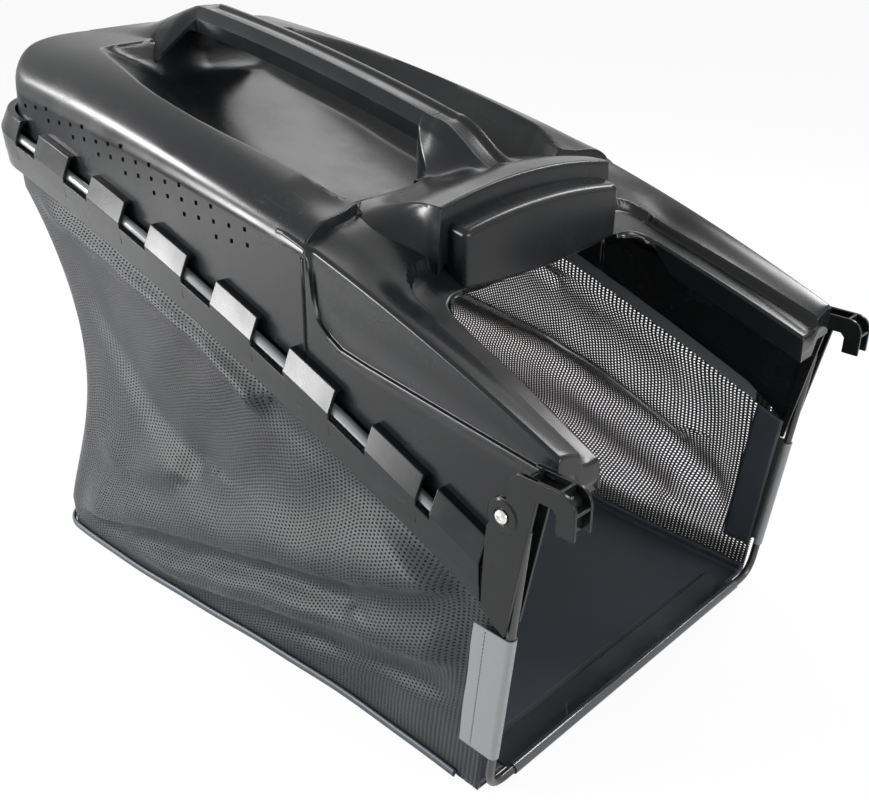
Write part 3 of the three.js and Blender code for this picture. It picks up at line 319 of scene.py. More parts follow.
def add_bevel(obj: Object, width_mm: float, segments: int = 2, limit_deg: float = 35.0) -> None:
    """Round the sharp edges of an object with a live bevel.

    Args:
        obj: The object.
        width_mm: Width of the bevel.
        segments: Number of steps of the rounding.
        limit_deg: Edges bent more than this are rounded.
    """
    bevel = obj.modifiers.new("round_edges", "BEVEL")
    bevel.width = width_mm / 1000.0
    bevel.segments = segments
    bevel.limit_method = "ANGLE"
    bevel.angle_limit = math.radians(limit_deg)
    bevel.harden_normals = True


def add_wall(obj: Object, wall_mm: float, offset: float = -1.0) -> None:
    """Give an open sheet its wall.

    Args:
        obj: The object.
        wall_mm: Thickness of the wall.
        offset: -1 for a wall behind the sheet, 1 for one before it, 0 for both.
    """
    solid = obj.modifiers.new("wall", "SOLIDIFY")
    solid.thickness = wall_mm / 1000.0
    solid.offset = offset
    solid.use_even_offset = False
    solid.use_rim = True


def applied(obj: Object) -> Object:
    """Turn an object's modifiers into plain mesh.

    Args:
        obj: The object.

    Returns:
        The same object.
    """
    graph = bpy.context.evaluated_depsgraph_get()
    mesh = bpy.data.meshes.new_from_object(obj.evaluated_get(graph), depsgraph=graph)
    obj.modifiers.clear()
    old = obj.data
    obj.data = mesh
    mesh.name = obj.name
    if isinstance(old, bpy.types.Mesh):
        bpy.data.meshes.remove(old)
    return obj


# Shader node groups

class Tree:
    """Short calls for building a node tree."""

    def __init__(self, tree: NodeTree) -> None:
        """Keep the tree."""
        self.tree = tree

    def add(self, kind: str, inputs: dict | None = None, **settings: object) -> bpy.types.Node:
        """Add a node.

        Args:
            kind: Blender's name of the node type.
            inputs: Input socket, by name or number, to a value or an output socket.
            **settings: Properties of the node.

        Returns:
            The node.
        """
        node = self.tree.nodes.new(kind)
        for key, value in settings.items():
            setattr(node, key, value)
        self.feed(node, inputs or {})
        return node

    def feed(self, node: bpy.types.Node, inputs: dict) -> None:
        """Set inputs of a node, by name or number, to values or to output sockets.

        Args:
            node: The node.
            inputs: Input, by name or number, to a value or an output socket.
        """
        for key, value in inputs.items():
            if isinstance(value, Socket):
                self.tree.links.new(value, node.inputs[key])
            else:
                node.inputs[key].default_value = value

    def math(self, operation: str, a: object, b: object = 0.0, clamp: bool = False) -> Socket:
        """Result of a Math node."""
        return self.add("ShaderNodeMath", {0: a, 1: b}, operation=operation, use_clamp=clamp).outputs[0]

    def noise(self, vector: object, scale: object, detail: float = 3.0, rough: float = 0.55) -> Socket:
        """Factor of a noise texture."""
        inputs = {"Vector": vector, "Scale": scale, "Detail": detail, "Roughness": rough}
        return self.add("ShaderNodeTexNoise", inputs).outputs["Fac"]

    def spread(
        self, value: object, low: float, high: float, to_low: float = 0.0, to_high: float = 1.0
    ) -> Socket:
        """Value mapped from one range to another."""
        inputs = {"Value": value, "From Min": low, "From Max": high, "To Min": to_low, "To Max": to_high}
        return self.add("ShaderNodeMapRange", inputs).outputs["Result"]

    def mix(self, factor: object, a: object, b: object) -> Socket:
        """Mix of two colours."""
        return self.add("ShaderNodeMix", {0: factor, 6: a, 7: b}, data_type="RGBA").outputs[2]


def new_group(name: str, vector: str, values: dict[str, float]) -> tuple[Tree, bpy.types.Node]:
    """Start a shader node group with named inputs.

    Args:
        name: Name of the group.
        vector: Name of its vector input.
        values: Name and default of each number among its inputs.

    Returns:
        The tree and its input node.
    """
    group = bpy.data.node_groups.new(name, "ShaderNodeTree")
    group.interface.new_socket(name=vector, in_out="INPUT", socket_type="NodeSocketVector")
    for label, value in values.items():
        socket = group.interface.new_socket(name=label, in_out="INPUT", socket_type="NodeSocketFloat")
        socket.default_value = value
    tree = Tree(group)
    return tree, tree.add("NodeGroupInput")


def close_group(tree: Tree, results: dict[str, Socket]) -> NodeTree:
    """Give a node group its outputs, each a single value, and return it.

    Args:
        tree: The group's tree.
        results: Output socket of each result, by name.

    Returns:
        The finished group.
    """
    for label in results:
        tree.tree.interface.new_socket(name=label, in_out="OUTPUT", socket_type="NodeSocketFloat")
    tree.feed(tree.add("NodeGroupOutput"), results)
    return tree.tree


def build_grain_group() -> NodeTree:
    """Fine grain, scuffs and dust of a worn moulding."""
    tree, source = new_group("moulded_grain", "Vector", {"Grain Size": 900.0, "Patch Size": 9.0})
    vector, grain_size, patch = source.outputs[:3]
    fine = tree.noise(vector, grain_size, 2.0, 0.5)
    wide = tree.noise(vector, patch, 5.0, 0.6)
    speck = tree.noise(vector, 420.0, 2.0, 0.6)
    long_way = {"Vector": vector, "Rotation": (0.3, 0.2, 0.5), "Scale": (260.0, 14.0, 40.0)}
    streak = tree.noise(tree.add("ShaderNodeMapping", long_way).outputs["Vector"], 1.0, 4.0, 0.7)
    scuff = tree.math("MULTIPLY", tree.spread(streak, 0.60, 0.72), tree.spread(wide, 0.45, 0.65))
    dust = tree.math("MULTIPLY", tree.spread(speck, 0.66, 0.74), tree.spread(wide, 0.5, 0.7))
    return close_group(tree, {"Grain": fine, "Scuff": scuff, "Dust": dust})


def build_weave_group() -> NodeTree:
    """Open net with staggered holes, on a UV map laid out in metres."""
    values = {"Pitch Along": 0.0036, "Pitch Up": 0.0026, "Hole Along": 0.26, "Hole Up": 0.27}
    tree, source = new_group("open_net", "UV", values)
    uv, pitch_along, pitch_up, hole_along, hole_up = source.outputs[:5]
    parts = tree.add("ShaderNodeSeparateXYZ", {0: uv})
    across = tree.math("DIVIDE", parts.outputs[0], pitch_along)
    odd = tree.math("MULTIPLY", tree.math("PINGPONG", tree.math("FLOOR", across), 1.0), 0.5)
    up = tree.math("ADD", tree.math("DIVIDE", parts.outputs[1], pitch_up), odd)
    reach = []
    for place, hole in ((across, hole_along), (up, hole_up)):
        off_middle = tree.math("ABSOLUTE", tree.math("SUBTRACT", tree.math("FRACT", place), 0.5))
        reach.append(tree.math("POWER", tree.math("DIVIDE", off_middle, hole), 3.0))
    round_hole = tree.math("ADD", *reach)
    thread = tree.math("GREATER_THAN", round_hole, 1.0)
    height = tree.spread(round_hole, 0.6, 3.5)
    return close_group(tree, {"Thread": thread, "Height": height})


# Finishes

DUST_COLOUR = (0.28, 0.27, 0.25, 1.0)


def new_material(name: str) -> tuple[Material, Tree, bpy.types.Node]:
    """Start a material; gives it with its tree and its shader."""
    made = bpy.data.materials.new(name)
    made.use_nodes = True
    return made, Tree(made.node_tree), made.node_tree.nodes["Principled BSDF"]


@dataclass(frozen=True)
class Finish:
    """A surface finish with fine grain, scuffs and dust."""

    name: str
    colour: tuple[float, float, float]
    roughness: float
    metallic: float = 0.0
    specular: float = 0.5
    grain_size: float = 900.0
    grain_height: float = 0.00002
    scuff: float = 0.35
    dust: float = 0.25
    coat: float = 0.0

    def material(self, grain: NodeTree) -> Material:
        """Build the material.

        Args:
            grain: The shared grain group.

        Returns:
            The material.
        """
        made, tree, shader = new_material(self.name)
        place = tree.add("ShaderNodeTexCoord").outputs["Object"]
        worn = tree.add("ShaderNodeGroup", {}, node_tree=grain)
        tree.feed(worn, {"Vector": place, "Grain Size": self.grain_size})
        scuff = tree.math("MULTIPLY", worn.outputs["Scuff"], self.scuff)
        dust = tree.math("MULTIPLY", worn.outputs["Dust"], self.dust)
        pale = tuple(min(1.0, c * 2.2 + 0.03) for c in self.colour) + (1.0,)
        scuffed = tree.mix(scuff, self.colour + (1.0,), pale)
        uneven = tree.noise(place, 22.0, 3.0)
        rough = tree.spread(uneven, 0.3, 0.7, self.roughness - 0.05, self.roughness + 0.06)
        grain_in = {"Height": worn.outputs["Grain"], "Distance": self.grain_height, "Strength": 1.0}
        tree.feed(shader, {
            "Base Color": tree.mix(dust, scuffed, DUST_COLOUR),
            "Roughness": tree.math("ADD", rough, tree.math("MULTIPLY", scuff, 0.25), clamp=True),
            "Normal": tree.add("ShaderNodeBump", grain_in).outputs["Normal"],
            "Metallic": self.metallic,
            "Specular IOR Level": self.specular,
            "Coat Weight": self.coat,
        })
        return made


@dataclass(frozen=True)
class NetFinish:
    """Open woven net of thick dark yarn, its holes given where it hangs loose and where it is spread."""

    name: str = "woven_net"
    colour: tuple[float, float, float] = (0.016, 0.0166, 0.018)
    roughness: float = 0.5
    specular: float = 0.25
    sheen: float = 0.04
    hole_along: tuple[float, float] = (0.19, 0.29)
    hole_up: tuple[float, float] = (0.17, 0.3)
    yarn_height: float = 0.0008

    def material(self, weave: NodeTree) -> Material:
        """Build the material.

        Args:
            weave: The shared net group.

        Returns:
            The material.
        """
        made, tree, shader = new_material(self.name)
        place = tree.add("ShaderNodeTexCoord").outputs["Object"]
        spread = tree.add("ShaderNodeAttribute", {}, attribute_name="spread").outputs["Fac"]
        net = tree.add("ShaderNodeGroup", {}, node_tree=weave)
        tree.feed(net, {
            "UV": tree.add("ShaderNodeUVMap", {}, uv_map="cloth").outputs["UV"],
            "Hole Along": tree.spread(spread, 0.0, 1.0, *self.hole_along),
            "Hole Up": tree.spread(spread, 0.0, 1.0, *self.hole_up),
        })
        patchy = tree.spread(tree.noise(place, 14.0, 4.0), 0.35, 0.7)
        light = tuple(c * 1.7 for c in self.colour) + (1.0,)
        yarn = {"Height": net.outputs["Height"], "Distance": self.yarn_height, "Strength": 0.9}
        tree.feed(shader, {
            "Base Color": tree.mix(patchy, self.colour + (1.0,), light),
            "Alpha": net.outputs["Thread"],
            "Normal": tree.add("ShaderNodeBump", yarn).outputs["Normal"],
            "Roughness": self.roughness,
            "Specular IOR Level": self.specular,
            "Sheen Weight": self.sheen,
        })
        return made


class Slot(Enum):
    """The record's material slots."""

    COVER = "cover_plastic"
    BRACKET = "bracket_plastic"
    WIRE = "black_wire"
    STRIP = "strip_plastic"
    NET = "mesh_fabric"
    VINYL = "grey_vinyl"
    ZINC = "zinc"


class Detail(Enum):
    """Looks of small things that have no slot of their own."""

    # The first look is painted shade: near-black plugs that stand for the dark inside of the vent holes.
    PAINTED_HOLE_SHADE = "pit"
    HEM = "hem"
    THREAD = "thread"


FINISHES = {
    Slot.COVER: Finish(
        "semi_gloss_moulding", (0.0072, 0.0077, 0.0086), 0.24, specular=0.24, scuff=0.25, dust=0.12
    ),
    Slot.BRACKET: Finish("bracket_moulding", (0.0066, 0.007, 0.0076), 0.25, specular=0.24, scuff=0.25),
    Slot.WIRE: Finish("painted_wire", (0.012, 0.012, 0.013), 0.28, coat=0.3),
    # The strips are black plastic: their light grey colour is painted reflection of the pale floor, added on
    # top of the real gloss of the coat.
    Slot.STRIP: Finish("extruded_strip", (0.14, 0.145, 0.15), 0.2, scuff=0.15, coat=0.5),
    Slot.VINYL: Finish(
        "vinyl_sheet", (0.032, 0.037, 0.046), 0.48, grain_size=1400.0, grain_height=0.00006, dust=0.3
    ),
    Slot.ZINC: Finish("zinc_plate", (0.62, 0.62, 0.6), 0.25, metallic=1.0, scuff=0.2, dust=0.1),
    # Painted shade: a near-black, unlit look for the vent plugs, which stand for the dark inside of the
    # holes.
    Detail.PAINTED_HOLE_SHADE: Finish("hole_shadow", (0.002, 0.002, 0.002), 0.8, specular=0.0, scuff=0.0, dust=0.0),
    Detail.HEM: Finish("dark_strip", (0.035, 0.038, 0.043), 0.22, scuff=0.15, coat=0.5),
    Detail.THREAD: Finish("sewing_thread", (0.05, 0.052, 0.056), 0.6, scuff=0.0, dust=0.0),
}


@dataclass
class Palette:
    """All materials of the object, by slot or small detail."""

    made: dict[Slot | Detail, Material] = field(default_factory=dict)

    def build(self) -> None:
        """Make every material once."""
        grain = build_grain_group()
        for look, finish in FINISHES.items():
            self.made[look] = finish.material(grain)
        self.made[Slot.NET] = NetFinish().material(build_weave_group())

    def dress(self, obj: Object, slot: Slot, *nodes: str, look: Detail | None = None) -> Object:
        """Dress a piece, let it ride on the body and hide the solids that it stands for.

        Args:
            obj: The piece.
            slot: Its material slot.
            *nodes: The solids that it replaces.
            look: A look other than the slot's own.

        Returns:
            The piece.
        """
        obj.data.materials.clear()
        obj.data.materials.append(self.made[look or slot])
        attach(obj, BODY)
        if nodes:
            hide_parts(*nodes)
        LOG.info("%s: %d faces", obj.name, len(obj.data.polygons))
        return obj


# Geometry Nodes trees

class Copy(Enum):
    """Small shapes that repeat."""

    STITCH = "stitch"
    DIAMOND = "diamond"


def build_repeat_tree(shape: Copy, material: Material) -> NodeTree:
    """Tree that sets a small shape on every point of a mesh of marked points.

    Each point carries the attributes heading and facing, the directions of the shape's length and
    of its outer side. The tree has inputs for the length, the width and the height of one copy.

    Args:
        shape: A rounded bead, or a flat four-sided plug.
        material: Material of the copies.

    Returns:
        The tree.
    """
    group = bpy.data.node_groups.new(f"{shape.value}_copies", "GeometryNodeTree")
    group.interface.new_socket(name="Geometry", in_out="INPUT", socket_type="NodeSocketGeometry")
    for label, default in (("Length", 0.004), ("Width", 0.001), ("Height", 0.001)):
        socket = group.interface.new_socket(name=label, in_out="INPUT", socket_type="NodeSocketFloat")
        socket.default_value = default
    group.interface.new_socket(name="Geometry", in_out="OUTPUT", socket_type="NodeSocketGeometry")
    tree = Tree(group)
    source = tree.add("NodeGroupInput")
    target = tree.add("NodeGroupOutput")
    if shape is Copy.STITCH:
        base = tree.add("GeometryNodeMeshUVSphere", {"Segments": 8, "Rings": 5, "Radius": 0.5})
    else:
        inputs = {"Vertices": 4, "Side Segments": 1, "Radius Top": 0.32, "Radius Bottom": 0.5, "Depth": 1.0}
        base = tree.add("GeometryNodeMeshCone", inputs)
    ways = {}
    for socket, label in (("Primary Axis", "heading"), ("Secondary Axis", "facing")):
        mark = tree.add("GeometryNodeInputNamedAttribute", {"Name": label}, data_type="FLOAT_VECTOR")
        ways[socket] = mark.outputs[0]
    turn = tree.add("FunctionNodeAxesToRotation", ways, primary_axis="X", secondary_axis="Z")
    size = tree.add("ShaderNodeCombineXYZ", {k: source.outputs[k + 1] for k in range(3)})
    copies = tree.add(
        "GeometryNodeInstanceOnPoints",
        {
            "Points": source.outputs[0],
            "Instance": base.outputs["Mesh"],
            "Rotation": turn.outputs[0],
            "Scale": size.outputs[0],
        },
    )
    real = tree.add("GeometryNodeRealizeInstances", {0: copies.outputs[0]})
    dressed = tree.add("GeometryNodeSetMaterial", {0: real.outputs[0], "Material": material})
    tree.feed(target, {0: dressed.outputs[0]})
    return group


def repeat_on_points(
    name: str,
    tree: NodeTree,
    points: Array,
    heading: Array,
    facing: Array,
    size_mm: tuple[float, float, float],
) -> Object:
    """Copies of a small shape on points, as one plain mesh.

    Args:
        name: Name of the object.
        tree: A tree from build_repeat_tree.
        points: Working-frame points, n by 3.
        heading: Direction of the length at each point.
        facing: Outer direction at each point.
        size_mm: Length, width and height of a copy.

    Returns:
        The object with the copies.
    """
    obj = mesh_piece(name, points, [])
    for label, values in (("heading", heading), ("facing", facing)):
        layer = obj.data.attributes.new(label, "FLOAT_VECTOR", "POINT")
        layer.data.foreach_set("vector", np.asarray(values, float).ravel())
    modifier = obj.modifiers.new("copies", "NODES")
    modifier.node_group = tree
    wanted = dict(zip(("Length", "Width", "Height"), size_mm))
    for item in tree.interface.items_tree:
        if item.in_out == "INPUT" and item.name in wanted:
            modifier[item.identifier] = wanted[item.name] / 1000.0
    return applied(obj)


# Top cover

@dataclass
class TopCover:
    """The moulded cover: shell, skirt with pads, and bow handle."""

    half: float = 168.0
    foot_half: float = 170.0
    rear_y: float = 592.0
    foot_rear_y: float = REAR_Y
    corner_r: float = 40.0
    front_y: float = -36.0
    split_y: float = 110.0
    shoulder_r: float = 7.0
    wall: float = 2.6
    sink: float = 3.0
    notch_front: float = 125.0
    notch_rear: float = 114.0
    notch_r: float = 26.0
    shelf_front: float = 144.0
    shelf_rear: float = 131.0
    shelf_back_y: float = 133.0
    shelf_r: float = 31.0
    rim_ys: tuple[float, ...] = (190, 205, 220, 250, 280, 310, 340, 370, 400, 430, 460, 500, 524)
    rim_halves: tuple[float, ...] = (
        112, 119, 123.5, 126.5, 129, 132, 133.5, 133, 131.5, 127.5, 121, 111.5, 104
    )
    skirt_out: float = 12.7
    skirt_wall: float = 2.5
    skirt_height: float = 25.0
    pad_top: float = 44.5
    pad_shoulder: float = 29.0
    pad_ledge: float = 5.2
    pad_length: float = 47.0
    pad_pitch: float = 82.0
    first_pad_y: float = 60.0
    end_pad_y: float = 6.0
    end_pad_length: float = 42.0
    body_y: float = 162.0
    recess_end_y: float = 524.0
    land_power: float = 7.4
    land_fall: float = 5.5
    arm_depth: float = 35.0
    deck_front: float = 125.5
    deck_half: float = 92.0
    deck_z: float = 369.0
    deck_crown: float = 8.0
    block_half: float = 85.5
    block_front: float = 109.4
    block_back: float = 130.0
    block_rise: float = 7.0
    block_round: float = 5.0
    bar_half: float = 20.0
    groove: float = 3.8
    vent_counts: tuple[int, ...] = (3, 4, 5, 5, 5, 5, 5, 3)
    vent_rear_y: float = 548.0
    vent_row_pitch: float = 39.0
    vent_pitch: float = 18.5
    vent_size: tuple[float, float, float] = (4.8, 4.8, 0.5)

    def half_at(self, y: Array) -> Array:
        """Half width of the top sheet at y, with the sunk panels and the round rear corners."""
        straight = self.half - self.sink * (1.0 - ramp((y - 170.0) / 8.0))
        past = np.clip(y - (self.rear_y - self.corner_r), 0.0, self.corner_r)
        return straight - self.corner_r + np.sqrt(np.clip(self.corner_r**2 - past**2, 0.0, None))

    def notch_half(self, y: Array) -> Array:
        """Half width of the mouth notch at y.

        Args:
            y: Places along the part.

        Returns:
            The half widths.
        """
        start = self.split_y - self.notch_r
        straight = lerp(self.notch_front, self.notch_rear, (y - self.front_y) / (start - self.front_y))
        turn = 1.0 - np.sqrt(np.clip(1.0 - np.clip(y - start, 0, self.notch_r) / self.notch_r, 0.0, 1.0))
        return np.where(y < start, straight, self.notch_rear - self.notch_r * turn**2)

    def inside_u(self, ax: Array, y: Array, front: float, rear: float, back_y: float, r: float) -> Array:
        """Distance inside a U-shaped outline that is open at the front.

        Args:
            ax: Distances from the middle.
            y: Places along the part.
            front: Half width of the outline at the front of the arms.
            rear: Half width where its corners begin.
            back_y: Place of its rear edge.
            r: Radius of its corners.

        Returns:
            The distances, negative outside.
        """
        start = back_y - r
        turn = 1.0 - np.sqrt(np.clip(1.0 - np.clip(y - start, 0, r) / r, 0.0, 1.0))
        straight = lerp(front, rear, (y - self.front_y) / (start - self.front_y))
        dx = np.where(y < start, straight, rear - r * turn**2) - ax
        s = np.sqrt(np.clip((rear - ax) / r, 0.0, 1.0))
        dy = np.where(ax > rear, start, start + r * (2 * s - s**2)) - y
        both = (dx > 0) & (dy > 0)
        near = dx * dy / np.sqrt(dx**2 + dy**2 + 1e-9)
        return np.where(ax > rear, dx, np.where(both, near, np.minimum(dx, dy)))

    def hood_top(self, ax: Array, y: Array) -> Array:
        """Top of the hood at the rear end of the handle.

        Args:
            ax: Distances from the middle.
            y: Places along the part.

        Returns:
            The heights.
        """
        v = np.clip((y - 502.0) / 86.0, 0.0, 1.0)
        foot = lerp(54.0, 78.0, v)
        peak = lerp(BAR_LINE.at(512.0), CREST_LINE.at(590.0) + 0.5, ramp(v))
        low = lerp(CREST_LINE.at(y) - 22.0, CREST_LINE.at(y) - 3.0, v)
        flank = np.clip(1.0 - ax / foot, 0.0, 1.0) ** 0.75
        top = lerp(low, peak, soft_min(flank * 1.35, np.ones_like(flank), 0.3))
        return top - 1.6 * np.clip(ax - foot, 0.0, None)

    def rim_half(self, y: Array) -> Array:
        """Half width of the finger recess at its rim."""
        return np.interp(y, self.rim_ys, self.rim_halves)

    def crease_half(self, y: Array) -> Array:
        """Half width of the floor of the finger recess."""
        return lerp(80.0, 52.0, ramp((y - 390.0) / 140.0))

    def rear_height(self, x: Array, y: Array) -> Array:
        """Height of the upper surface behind the step line.

        Args:
            x: Places across the part.
            y: Places along the part.

        Returns:
            The heights.
        """
        ax = np.abs(x)
        crest = CREST_LINE.at(y)
        front_fall = self.land_fall * (1.0 - ramp((y - 188.0) / 44.0))
        land = crest - (crest - SHOULDER_LINE.at(y)) * (ax / self.half) ** self.land_power
        land = land - front_fall * ramp((158.0 - ax) / 34.0)
        floor = RECESS_LINE.at(y)
        rim, crease = self.rim_half(y), self.crease_half(y)
        side = floor + (crest - 1.0 - front_fall - floor) * (ax - crease) / (rim - crease)
        rear = crest + 1.8 * (y - self.recess_end_y - 6.0 * np.clip(1.0 - ax / 100.0, 0, 1))
        tub = soft_max(soft_max(floor, side, 5.0), rear, 6.0)
        top = soft_min(land, tub, 2.2)
        hood = self.hood_top(ax, y)
        hood = np.where(y < 520.0, -1e3, soft_min(hood, hood + 6.0 * (y - 531.0), 3.0))
        top = soft_max(top, hood, 6.0)
        corner_y = self.rear_y - self.corner_r
        qx = ax - (self.half_at(np.minimum(y, corner_y)) - self.corner_r)
        qy = y - corner_y
        round_corner = self.corner_r - np.hypot(np.clip(qx, 0, None), np.clip(qy, 0, None))
        return top - edge_drop(round_corner - np.minimum(np.maximum(qx, qy), 0.0), self.shoulder_r)

    def arm_height(self, x: Array, y: Array) -> Array:
        """Height of the upper surface of the arms, with the lower shelf round the notch.

        Args:
            x: Places across the part.
            y: Places along the part.

        Returns:
            The heights.
        """
        ax = np.abs(x)
        inner_drop = lerp(8.0, -4.0, ramp((y - 92.0) / 84.0))
        arm = ARM_LINE.at(y) - inner_drop * ramp((162.0 - ax) / 30.0)
        on_shelf = self.inside_u(ax, y, self.shelf_front, self.shelf_rear, self.shelf_back_y, self.shelf_r)
        arm = arm - 7.0 * ramp((on_shelf + 1.2) / 3.0)
        arm = arm - edge_drop(self.half_at(y) - ax, 3.0)
        in_notch = self.inside_u(ax, y, self.notch_front, self.notch_rear, self.split_y, self.notch_r)
        arm = arm - edge_drop(np.where(y < self.split_y, np.clip(-in_notch, 0, None), 9.0), 2.5)
        return arm - edge_drop(y - self.front_y, 2.0)

    def step_y(self, ax: Array) -> Array:
        """Place of the step line, where the rear body begins."""
        return np.interp(ax, (0, 98, 107, 112, 125, 153, 168), (162, 163, 188, 189, 185, 181, 179))

    def arms(self) -> Object:
        """Both arms with their shelves, end faces and the rim round the notch."""
        store = MeshStore()
        start = self.split_y - self.notch_r
        bend = np.linspace(0, 1, 26)
        rows = np.concatenate([
            self.front_y + round_steps(2.0, 5),
            np.arange(-31.0, start - 1.0, 2.4),
            start + self.notch_r * (2 * bend - bend**2),
            np.arange(self.split_y + 1.2, 206.0, 1.6),
        ])
        share = np.concatenate([round_steps(0.06, 6), np.linspace(0.06, 0.95, 84)[1:], [0.97, 0.985, 1.0]])
        y = np.repeat(rows[:, None], len(share), axis=1)
        inner = self.notch_half(np.minimum(y, self.split_y)) - 8.0 * ramp((y - self.split_y) / 2.0)
        ax = lerp(self.half_at(y), inner, share)
        z = self.arm_height(ax, y)
        beside = rows <= self.split_y
        nx, ny = ax[beside, -1], rows[beside]
        low = lerp(ARM_LINE.at(ny) - self.arm_depth, 311.0, ramp((ny - 70.0) / 38.0))
        foot = ARM_LINE.at(self.front_y) - self.arm_depth + 12.0 * (1.0 - ramp((150.0 - ax[0]) / 8.0))
        for side in (-1.0, 1.0):
            store.grid(xyz(side * ax, y, z), flip=side < 0)
            depth = np.array([0, 0.04, 0.3, 0.65, 0.97, 1.0])[:, None]
            wall_x = side * nx * (1 - 0.004 * depth)
            store.grid(xyz(wall_x, ny - 0.6 * depth, lerp(z[beside, -1], low, depth)))
            depth = np.array([0.0, 0.05, 0.5, 1.0])[:, None]
            store.grid(xyz(side * ax[0], y[0], lerp(z[0], foot, depth)))
            self.side_wall(store, side, rows[rows < 178.0], self.arm_height)
        return self.sheet(store, "cover_arms", 2e-6)

    def sheet(self, store: MeshStore, name: str, weld: float = 0.0) -> Object:
        """Make a moulded sheet of the cover, facing up and with its wall.

        Args:
            store: The sheet's surface.
            name: Name of the piece.
            weld: Distance in metres within which points are joined.

        Returns:
            The piece.
        """
        piece = store.build(name, 40, weld)
        self.face_up(piece)
        add_wall(piece, self.wall)
        return piece

    def face_up(self, piece: Object) -> None:
        """Turn a sheet's faces over where they look down."""
        if sum(f.normal.z * f.area for f in piece.data.polygons) < 0:
            piece.data.flip_normals()

    def wall_rows(self, top_x: Array, top_y: Array, top_z: Array, nx: Array, ny: Array) -> Array:
        """Rows of a side or rear wall below the edge of a sheet.

        Args:
            top_x: Places across the part along the sheet's edge.
            top_y: Places along the part.
            top_z: Heights of the edge.
            nx: Outward direction across the part.
            ny: Outward direction along the part.

        Returns:
            Rows of points, from the edge down to the skirt.
        """
        foot_x = top_x + nx * (self.foot_half - self.half)
        foot_y = top_y + ny * (self.foot_rear_y - self.rear_y)
        foot_z = SKIRT_LINE.at(np.minimum(foot_y, REAR_Y)) + self.skirt_height - 5.0
        ledge = np.where(top_y < 174.0, np.minimum(self.panel_top(top_y), top_z - 2.5), top_z - 2.5)
        sunk = self.sink * (1.0 - ramp((top_y - 170.0) / 8.0)) * (np.abs(nx) > 0.99)
        levels = [(top_z, 0.0), (lerp(top_z, ledge + 1.6, 0.5), 0.0)]
        levels += [(ledge + up, out) for up, out in ((1.6, 0.0), (0.7, 0.12), (0.35, 0.85), (-0.3, 1.0))]
        levels += [(lerp(ledge - 0.3, foot_z, k / 7), 1.0) for k in range(1, 8)]
        reach, edge_z = self.front_y + 60.0, 249.0
        rows = []
        for z, out in levels:
            fall = np.clip((top_z - z) / (top_z - foot_z), 0, 1)
            px = lerp(top_x, foot_x, fall) + np.sign(top_x) * sunk * out
            py = lerp(top_y, foot_y, fall)
            front = lerp(self.front_y, mouth_y(z) + 4.7, np.clip((edge_z - z) / 3.0, 0, 1))
            near = np.clip((py - self.front_y) / (reach - self.front_y), 0, 1)
            rows.append(xyz(px, np.where(py < reach, lerp(front, reach, near), py), z))
        return np.array(rows)

    def side_wall(
        self, store: MeshStore, side: float, y: Array, height: Callable[[Array, Array], Array]
    ) -> None:
        """Add the wall below one side of a sheet.

        Args:
            store: The sheet's surface.
            side: -1 on the left, 1 on the right.
            y: Places along the part of the sheet's rows.
            height: Height of the sheet at a distance from the middle and a place along the part.
        """
        x = side * self.half_at(y)
        past = np.clip(y - (self.rear_y - self.corner_r), 0, self.corner_r) / self.corner_r
        nx = side * np.sqrt(np.clip(1 - past**2, 0, 1))
        store.grid(self.wall_rows(x, y, height(x, y), nx, past))

    def panel_top(self, y: Array) -> Array:
        """Height of the ledge below the sunk panel of an arm."""
        return np.interp(y, [-36, 118, 143, 155, 165, 170, 173], [262, 281, 285, 291, 299, 312, 338])

    def rear_rows(self) -> Array:
        """Places along the part of the rows of the rear body, at its middle."""
        spans = ((self.body_y, 240.0, 2.6), (240.0, 516.0, 4.0), (517.0, 552.0, 2.0))
        turn = self.rear_y - self.corner_r + self.corner_r * np.sin(np.linspace(0, 1.2, 14))
        last = self.rear_y - round_steps(self.shoulder_r, 7)[::-1]
        rows = [np.arange(*span) for span in spans] + [turn[turn < last[0] - 0.5], last]
        return np.unique(np.round(np.concatenate(rows), 4))

    def rear_columns(self, y: float, outer: float) -> Array:
        """Columns of one row, which follow the rim and the crease of the recess.

        Args:
            y: Place of the row along the part.
            outer: Half width of the sheet there.

        Returns:
            Distances from the middle, from the outer edge inwards.
        """
        rim, crease = float(self.rim_half(y)), float(self.crease_half(y))
        fillet = outer - round_steps(self.shoulder_r, 7)
        places = (fillet[-1], rim + 2.5, rim - 2.5, crease + 3.0, crease - 3.0, 0.0)
        zones = zip(places[:-1], places[1:], (18, 8, 12, 8, 18))
        return np.concatenate([fillet] + [np.linspace(a, b, count)[1:] for a, b, count in zones])

    def rear_body(self) -> Object:
        """Rear body with the finger recess, its step face, side walls and rear wall."""
        places = []
        for row in self.rear_rows():
            fade = float(np.clip((240.0 - row) / 78.0, 0, 1))
            half = self.rear_columns(row, float(self.half_at(np.array(row + 17.0 * fade))))
            x = np.concatenate([-half, half[::-1][1:]])
            places.append((x, row + (self.step_y(np.abs(x)) - self.body_y) * fade))
        x, y = np.array(places).transpose(1, 0, 2)
        z = self.rear_height(x, y)
        nose_r = 1.6
        step = [xyz(x[0], y[0] - nose_r, z[0] - drop) for drop in (30.0, 15.0, 4.0)]
        for a in np.linspace(np.pi / 2, 0, 5)[:-1]:
            step.append(xyz(x[0], y[0] - nose_r * math.sin(a), z[0] - nose_r * (1 - math.cos(a))))
        store = MeshStore().grid(np.concatenate([np.array(step), xyz(x, y, z)]))
        for side in (-1.0, 1.0):
            self.side_wall(store, side, y[:, 0], self.rear_height)
        ends = np.zeros(len(x[-1]))
        store.grid(self.wall_rows(x[-1], y[-1], z[-1], ends, ends + 1.0))
        return self.sheet(store, "cover_rear_body", 2e-6)

